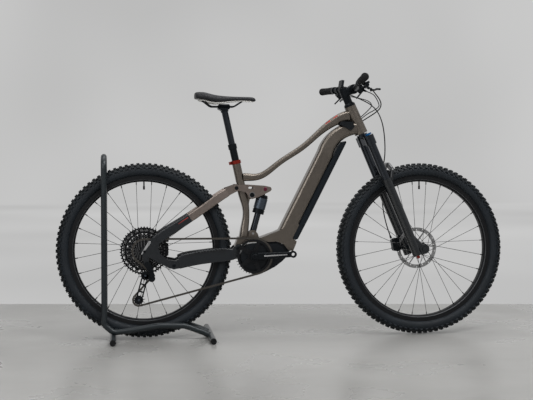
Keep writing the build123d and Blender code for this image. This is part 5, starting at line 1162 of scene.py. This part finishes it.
def cog_plate(bm, inner, outer, middle):
    low = middle - COG_THICK / 2
    high = middle + COG_THICK / 2
    profile = [(inner, low), (outer, low), (outer, high), (inner, high), (inner, low)]
    lathe(bm, profile, AXLE_SEAT, 72)


def tooth_ring(bm, teeth, pitch_r, middle):
    """One tapered tooth, repeated round the sprocket."""
    verts = bmesh.ops.create_cube(bm, size=1.0)["verts"]
    bmesh.ops.scale(bm, vec=TOOTH_TAPER, verts=[v for v in verts if v.co.z > 0])
    bmesh.ops.scale(bm, vec=(TOOTH_WIDTH, COG_THICK, TOOTH_DEPTH), verts=verts)
    bmesh.ops.translate(bm, vec=(0.0, middle, pitch_r + TOOTH_RISE - TOOTH_DEPTH / 2), verts=verts)
    repeat_round(bm, verts, teeth)


def lattice(bm, inner, outer, middle, count):
    """Crossed struts between two rings, which leave the sprocket's openings."""
    struts = []
    for lean in (-1, 1):
        turn = lean * pi / count
        a = round_axle(inner, -turn / 2, middle)
        b = round_axle(outer, turn / 2, middle)
        verts = bmesh.ops.create_cube(bm, size=1.0)["verts"]
        bmesh.ops.scale(bm, vec=((b - a).length, COG_THICK * 0.9, STRUT_WIDTH), verts=verts)
        bmesh.ops.transform(bm, matrix=midway(a, b), verts=verts)
        struts += verts
    repeat_round(bm, struts, count)


def cassette():
    """Twelve sprockets: toothed rings with see-through lattices on the large ones."""
    bm = bmesh.new()
    for i, teeth in enumerate(COG_TEETH):
        middle = cog_y(i)
        pitch_r = pitch_radius(teeth)
        root = pitch_r - TOOTH_DEPTH + TOOTH_RISE + 0.0004
        tooth_ring(bm, teeth, pitch_r, middle)
        if i < LATTICE_FROM:
            inner = COG_CORE_R if pitch_r > COG_CORE_R + 0.006 else COG_BORE_R
            cog_plate(bm, inner, root, middle)
            continue
        rim = root - RING_BAND
        low = rim - LATTICE_DEPTH
        cog_plate(bm, rim, root, middle)
        lattice(bm, low, rim + 0.0005, middle, STRUT_PAIRS + 3 * (i - LATTICE_FROM))
        cog_plate(bm, low - 0.0045, low + 0.0005, middle)
        for k in range(6):
            q = 2 * pi * k / 6 + 0.12 * i
            a = round_axle(COG_CORE_R, q, middle)
            b = round_axle(low - 0.001, q + 0.3, middle)
            block(bm, ((b - a).length + 0.002, COG_THICK, 0.006), midway(a, b), 0.0003)
    first = cog_y(0)
    last = cog_y(len(COG_TEETH) - 1)
    hub = [(HUB_R, first + 0.012), (HUB_R, last + 0.001), (COG_BORE_R, last + 0.001)]
    hub += [(COG_BORE_R, first - 0.0012), (0.018, first - 0.0012), (HUB_R, first + 0.012)]
    lathe(bm, hub, AXLE_SEAT, 40)
    bmesh.ops.transform(bm, matrix=wheel_matrix(False), verts=bm.verts)
    piece = new_piece("cassette_cogs", bm, "cassette", "cassette_body")
    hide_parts("cassette")


# ---- chain
CHAIN_FEED_TOP = 0.326      # links below this are the feed strand
CHAIN_FEED_HELD = 0.298     # height where the feed strand meets the cage
CHAIN_PULLEYS_MIDDLE = 0.235    # links below this are the return strand
CHAIN_RETURN_FREE = -0.5    # ahead of this the lower run stays with the seatstays
CHAIN_RETURN_HELD = -0.6
CHAIN_Y = -0.0495


def chain_region(place):
    """Which strand of the chain a link belongs to."""
    if place.x > CHAIN_RETURN_FREE or place.z > CHAIN_FEED_TOP:
        return "chain_run"
    return "chain_feed" if place.z > CHAIN_PULLEYS_MIDDLE else "chain_return"


def islands(bm):
    """Lists of faces that hang together, one list for each loose part of the mesh."""
    waiting = set(bm.faces)
    while waiting:
        part, edge = [], [waiting.pop()]
        while edge:
            face = edge.pop()
            part.append(face)
            for near in [f for e in face.edges for f in e.link_faces if f in waiting]:
                waiting.discard(near)
                edge.append(near)
        yield part


STRANDS = (     # name, and two points for where it leaves the seatstays and meets the cage; a strand without them rides on the seatstays
    ("chain_run", None, None),
    ("chain_feed", (-0.6, CHAIN_Y, CHAIN_FEED_TOP), (-0.6, CHAIN_Y, CHAIN_FEED_HELD)),
    ("chain_return", (CHAIN_RETURN_FREE, CHAIN_Y, 0.15), (CHAIN_RETURN_HELD, CHAIN_Y, 0.15)),
)


def chain():
    """The chain in three strands; the run rides on the seatstays and the feed and return strands stand
    alone.
    """
    for name, free, held in STRANDS:
        bm = bmesh.new()
        bm.from_mesh(NODES["chain"].data)
        bmesh.ops.remove_doubles(bm, verts=bm.verts, dist=1e-6)
        away = []
        for part in islands(bm):
            middle = sum((f.calc_center_median() for f in part), Vector()) / len(part)
            if chain_region(middle) != name:
                away.extend(part)
        bmesh.ops.delete(bm, geom=away, context="FACES")
        if not free:
            piece = new_piece(name, bm, "chain", "seatstay_arm")
            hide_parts("chain")
            continue
        piece = new_piece(name, bm, "chain")
        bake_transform(piece)
        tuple(free)
        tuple(held)


# ---- stage, lights and camera
CAMERA_PLACE = (-0.68366, -5.09461, 0.76688)
CAMERA_YAW = radians(-6.814)
CAMERA_PITCH = radians(-1.99)
FOCAL_PIXELS = 1189.32
VIEW_WIDTH = 533
FLOOR_EDGE_DISTANCE = 6.26
FLOOR_HALF = 20.0
FLOOR_NEAR = 16.0
WALL_Y = 16.0
WALL_HEIGHT = 9.0
FLOOR_Z = -0.0006
SHEETS = (("floor", "concrete"), ("floor_beyond", "backdrop"), ("wall", "backdrop"))


def camera():
    data = bpy.data.cameras.new("camera")
    data.sensor_width = 36.0
    data.lens = FOCAL_PIXELS * data.sensor_width / VIEW_WIDTH
    data.dof.use_dof = False
    obj = add_object("camera", data)
    obj.location = CAMERA_PLACE
    obj.rotation_euler = (pi / 2 + CAMERA_PITCH, 0.0, CAMERA_YAW)
    bpy.context.scene.camera = obj


def stage():
    """Concrete floor, with backdrop paper beyond it and up the wall."""
    ahead = Vector((-sin(CAMERA_YAW), cos(CAMERA_YAW), 0.0))
    aside = Vector((ahead.y, -ahead.x, 0.0)) * FLOOR_HALF
    middle = Vector((CAMERA_PLACE[0], CAMERA_PLACE[1], 0.0)) + ahead * FLOOR_EDGE_DISTANCE
    ends = (middle - aside, middle + aside)
    folds = (
        [(end.x, end.y - FLOOR_NEAR, FLOOR_Z) for end in ends],
        [(end.x, end.y, FLOOR_Z) for end in ends],
        [(end.x, WALL_Y, FLOOR_Z) for end in ends],
        [(end.x, WALL_Y, WALL_HEIGHT) for end in ends],
    )
    for (name, finish), (a, b), (d, c) in zip(SHEETS, folds, folds[1:]):
        bm = bmesh.new()
        bm.faces.new([bm.verts.new(corner) for corner in (a, b, c, d)])
        new_piece(name, bm, finish)


def area_light(name, place, target, size, watts):
    data = bpy.data.lights.new(name, "AREA")
    data.shape = "RECTANGLE"
    data.size, data.size_y = size
    data.energy = watts
    obj = add_object(name, data)
    obj.location = place
    aim = Vector(target) - Vector(place)
    obj.rotation_euler = aim.to_track_quat("-Z", "Y").to_euler()
    obj.visible_camera = False


SKY_COLOUR = (0.93, 0.93, 0.94, 1.0)
GROUND_COLOUR = (0.24, 0.24, 0.24, 1.0)
SKY_STRENGTH = 0.52
SKY_RAMP = (-0.55, 0.4)


def world_light():
    """Studio light, bright overhead and dim towards the floor."""
    world = bpy.data.worlds.new("studio")
    world.use_nodes = True
    sky = Nodes(world.node_tree, "Generated")
    _, _, rise = sky.split()
    background = sky.tree.nodes["Background"]
    shades = sky.mix(sky.spread(rise, *SKY_RAMP), GROUND_COLOUR, SKY_COLOUR)
    sky.tree.links.new(shades, background.inputs["Color"])
    background.inputs["Strength"].default_value = SKY_STRENGTH
    bpy.context.scene.world = world


def lights():
    world_light()
    area_light("key", (1.2, -2.2, 3.7), (0.1, 0, 0.5), (3.4, 1.4), 100)
    area_light("fill", (-2.6, -3.4, 2.2), (-0.2, 0, 0.5), (2.6, 2.0), 44)
    area_light("top", (-0.2, 0.5, 3.9), (0, 0, 0.3), (4.5, 1.4), 54)
    view = bpy.context.scene.view_settings
    view.view_transform = "Standard"
    view.look = "None"


camera()
hoses()
dress_nodes()
tyre("front_tyre_tread", "front_tyre", "front_wheel", True)
tyre("rear_tyre_tread", "rear_tyre", "rear_wheel", False)
grips()
saddle()
strain_reliefs()
pivot_bolts()
crank_trim()
cage()
chain_guard()
side_plate("dropout_plate", DROPOUT_PLATE, -0.0812, 0.0016, "alloy", "seatstay_arm")
calipers()
motor_trim()
# painted shadow: a dark block fills the slit between the motor and the shell
side_plate("motor_slit_shade", SLIT_SHADE_OUTLINE, SLIT_SHADE_HALF, 2 * SLIT_SHADE_HALF, "motor", "frame", 0.001)
turned("battery_lock_left", LOCK_BARREL, aimed(COVER_LOCK, (0, 1, 0)), 28, "alloy", "frame")
shock_trim()
cassette()
chain()
stage()
lights()
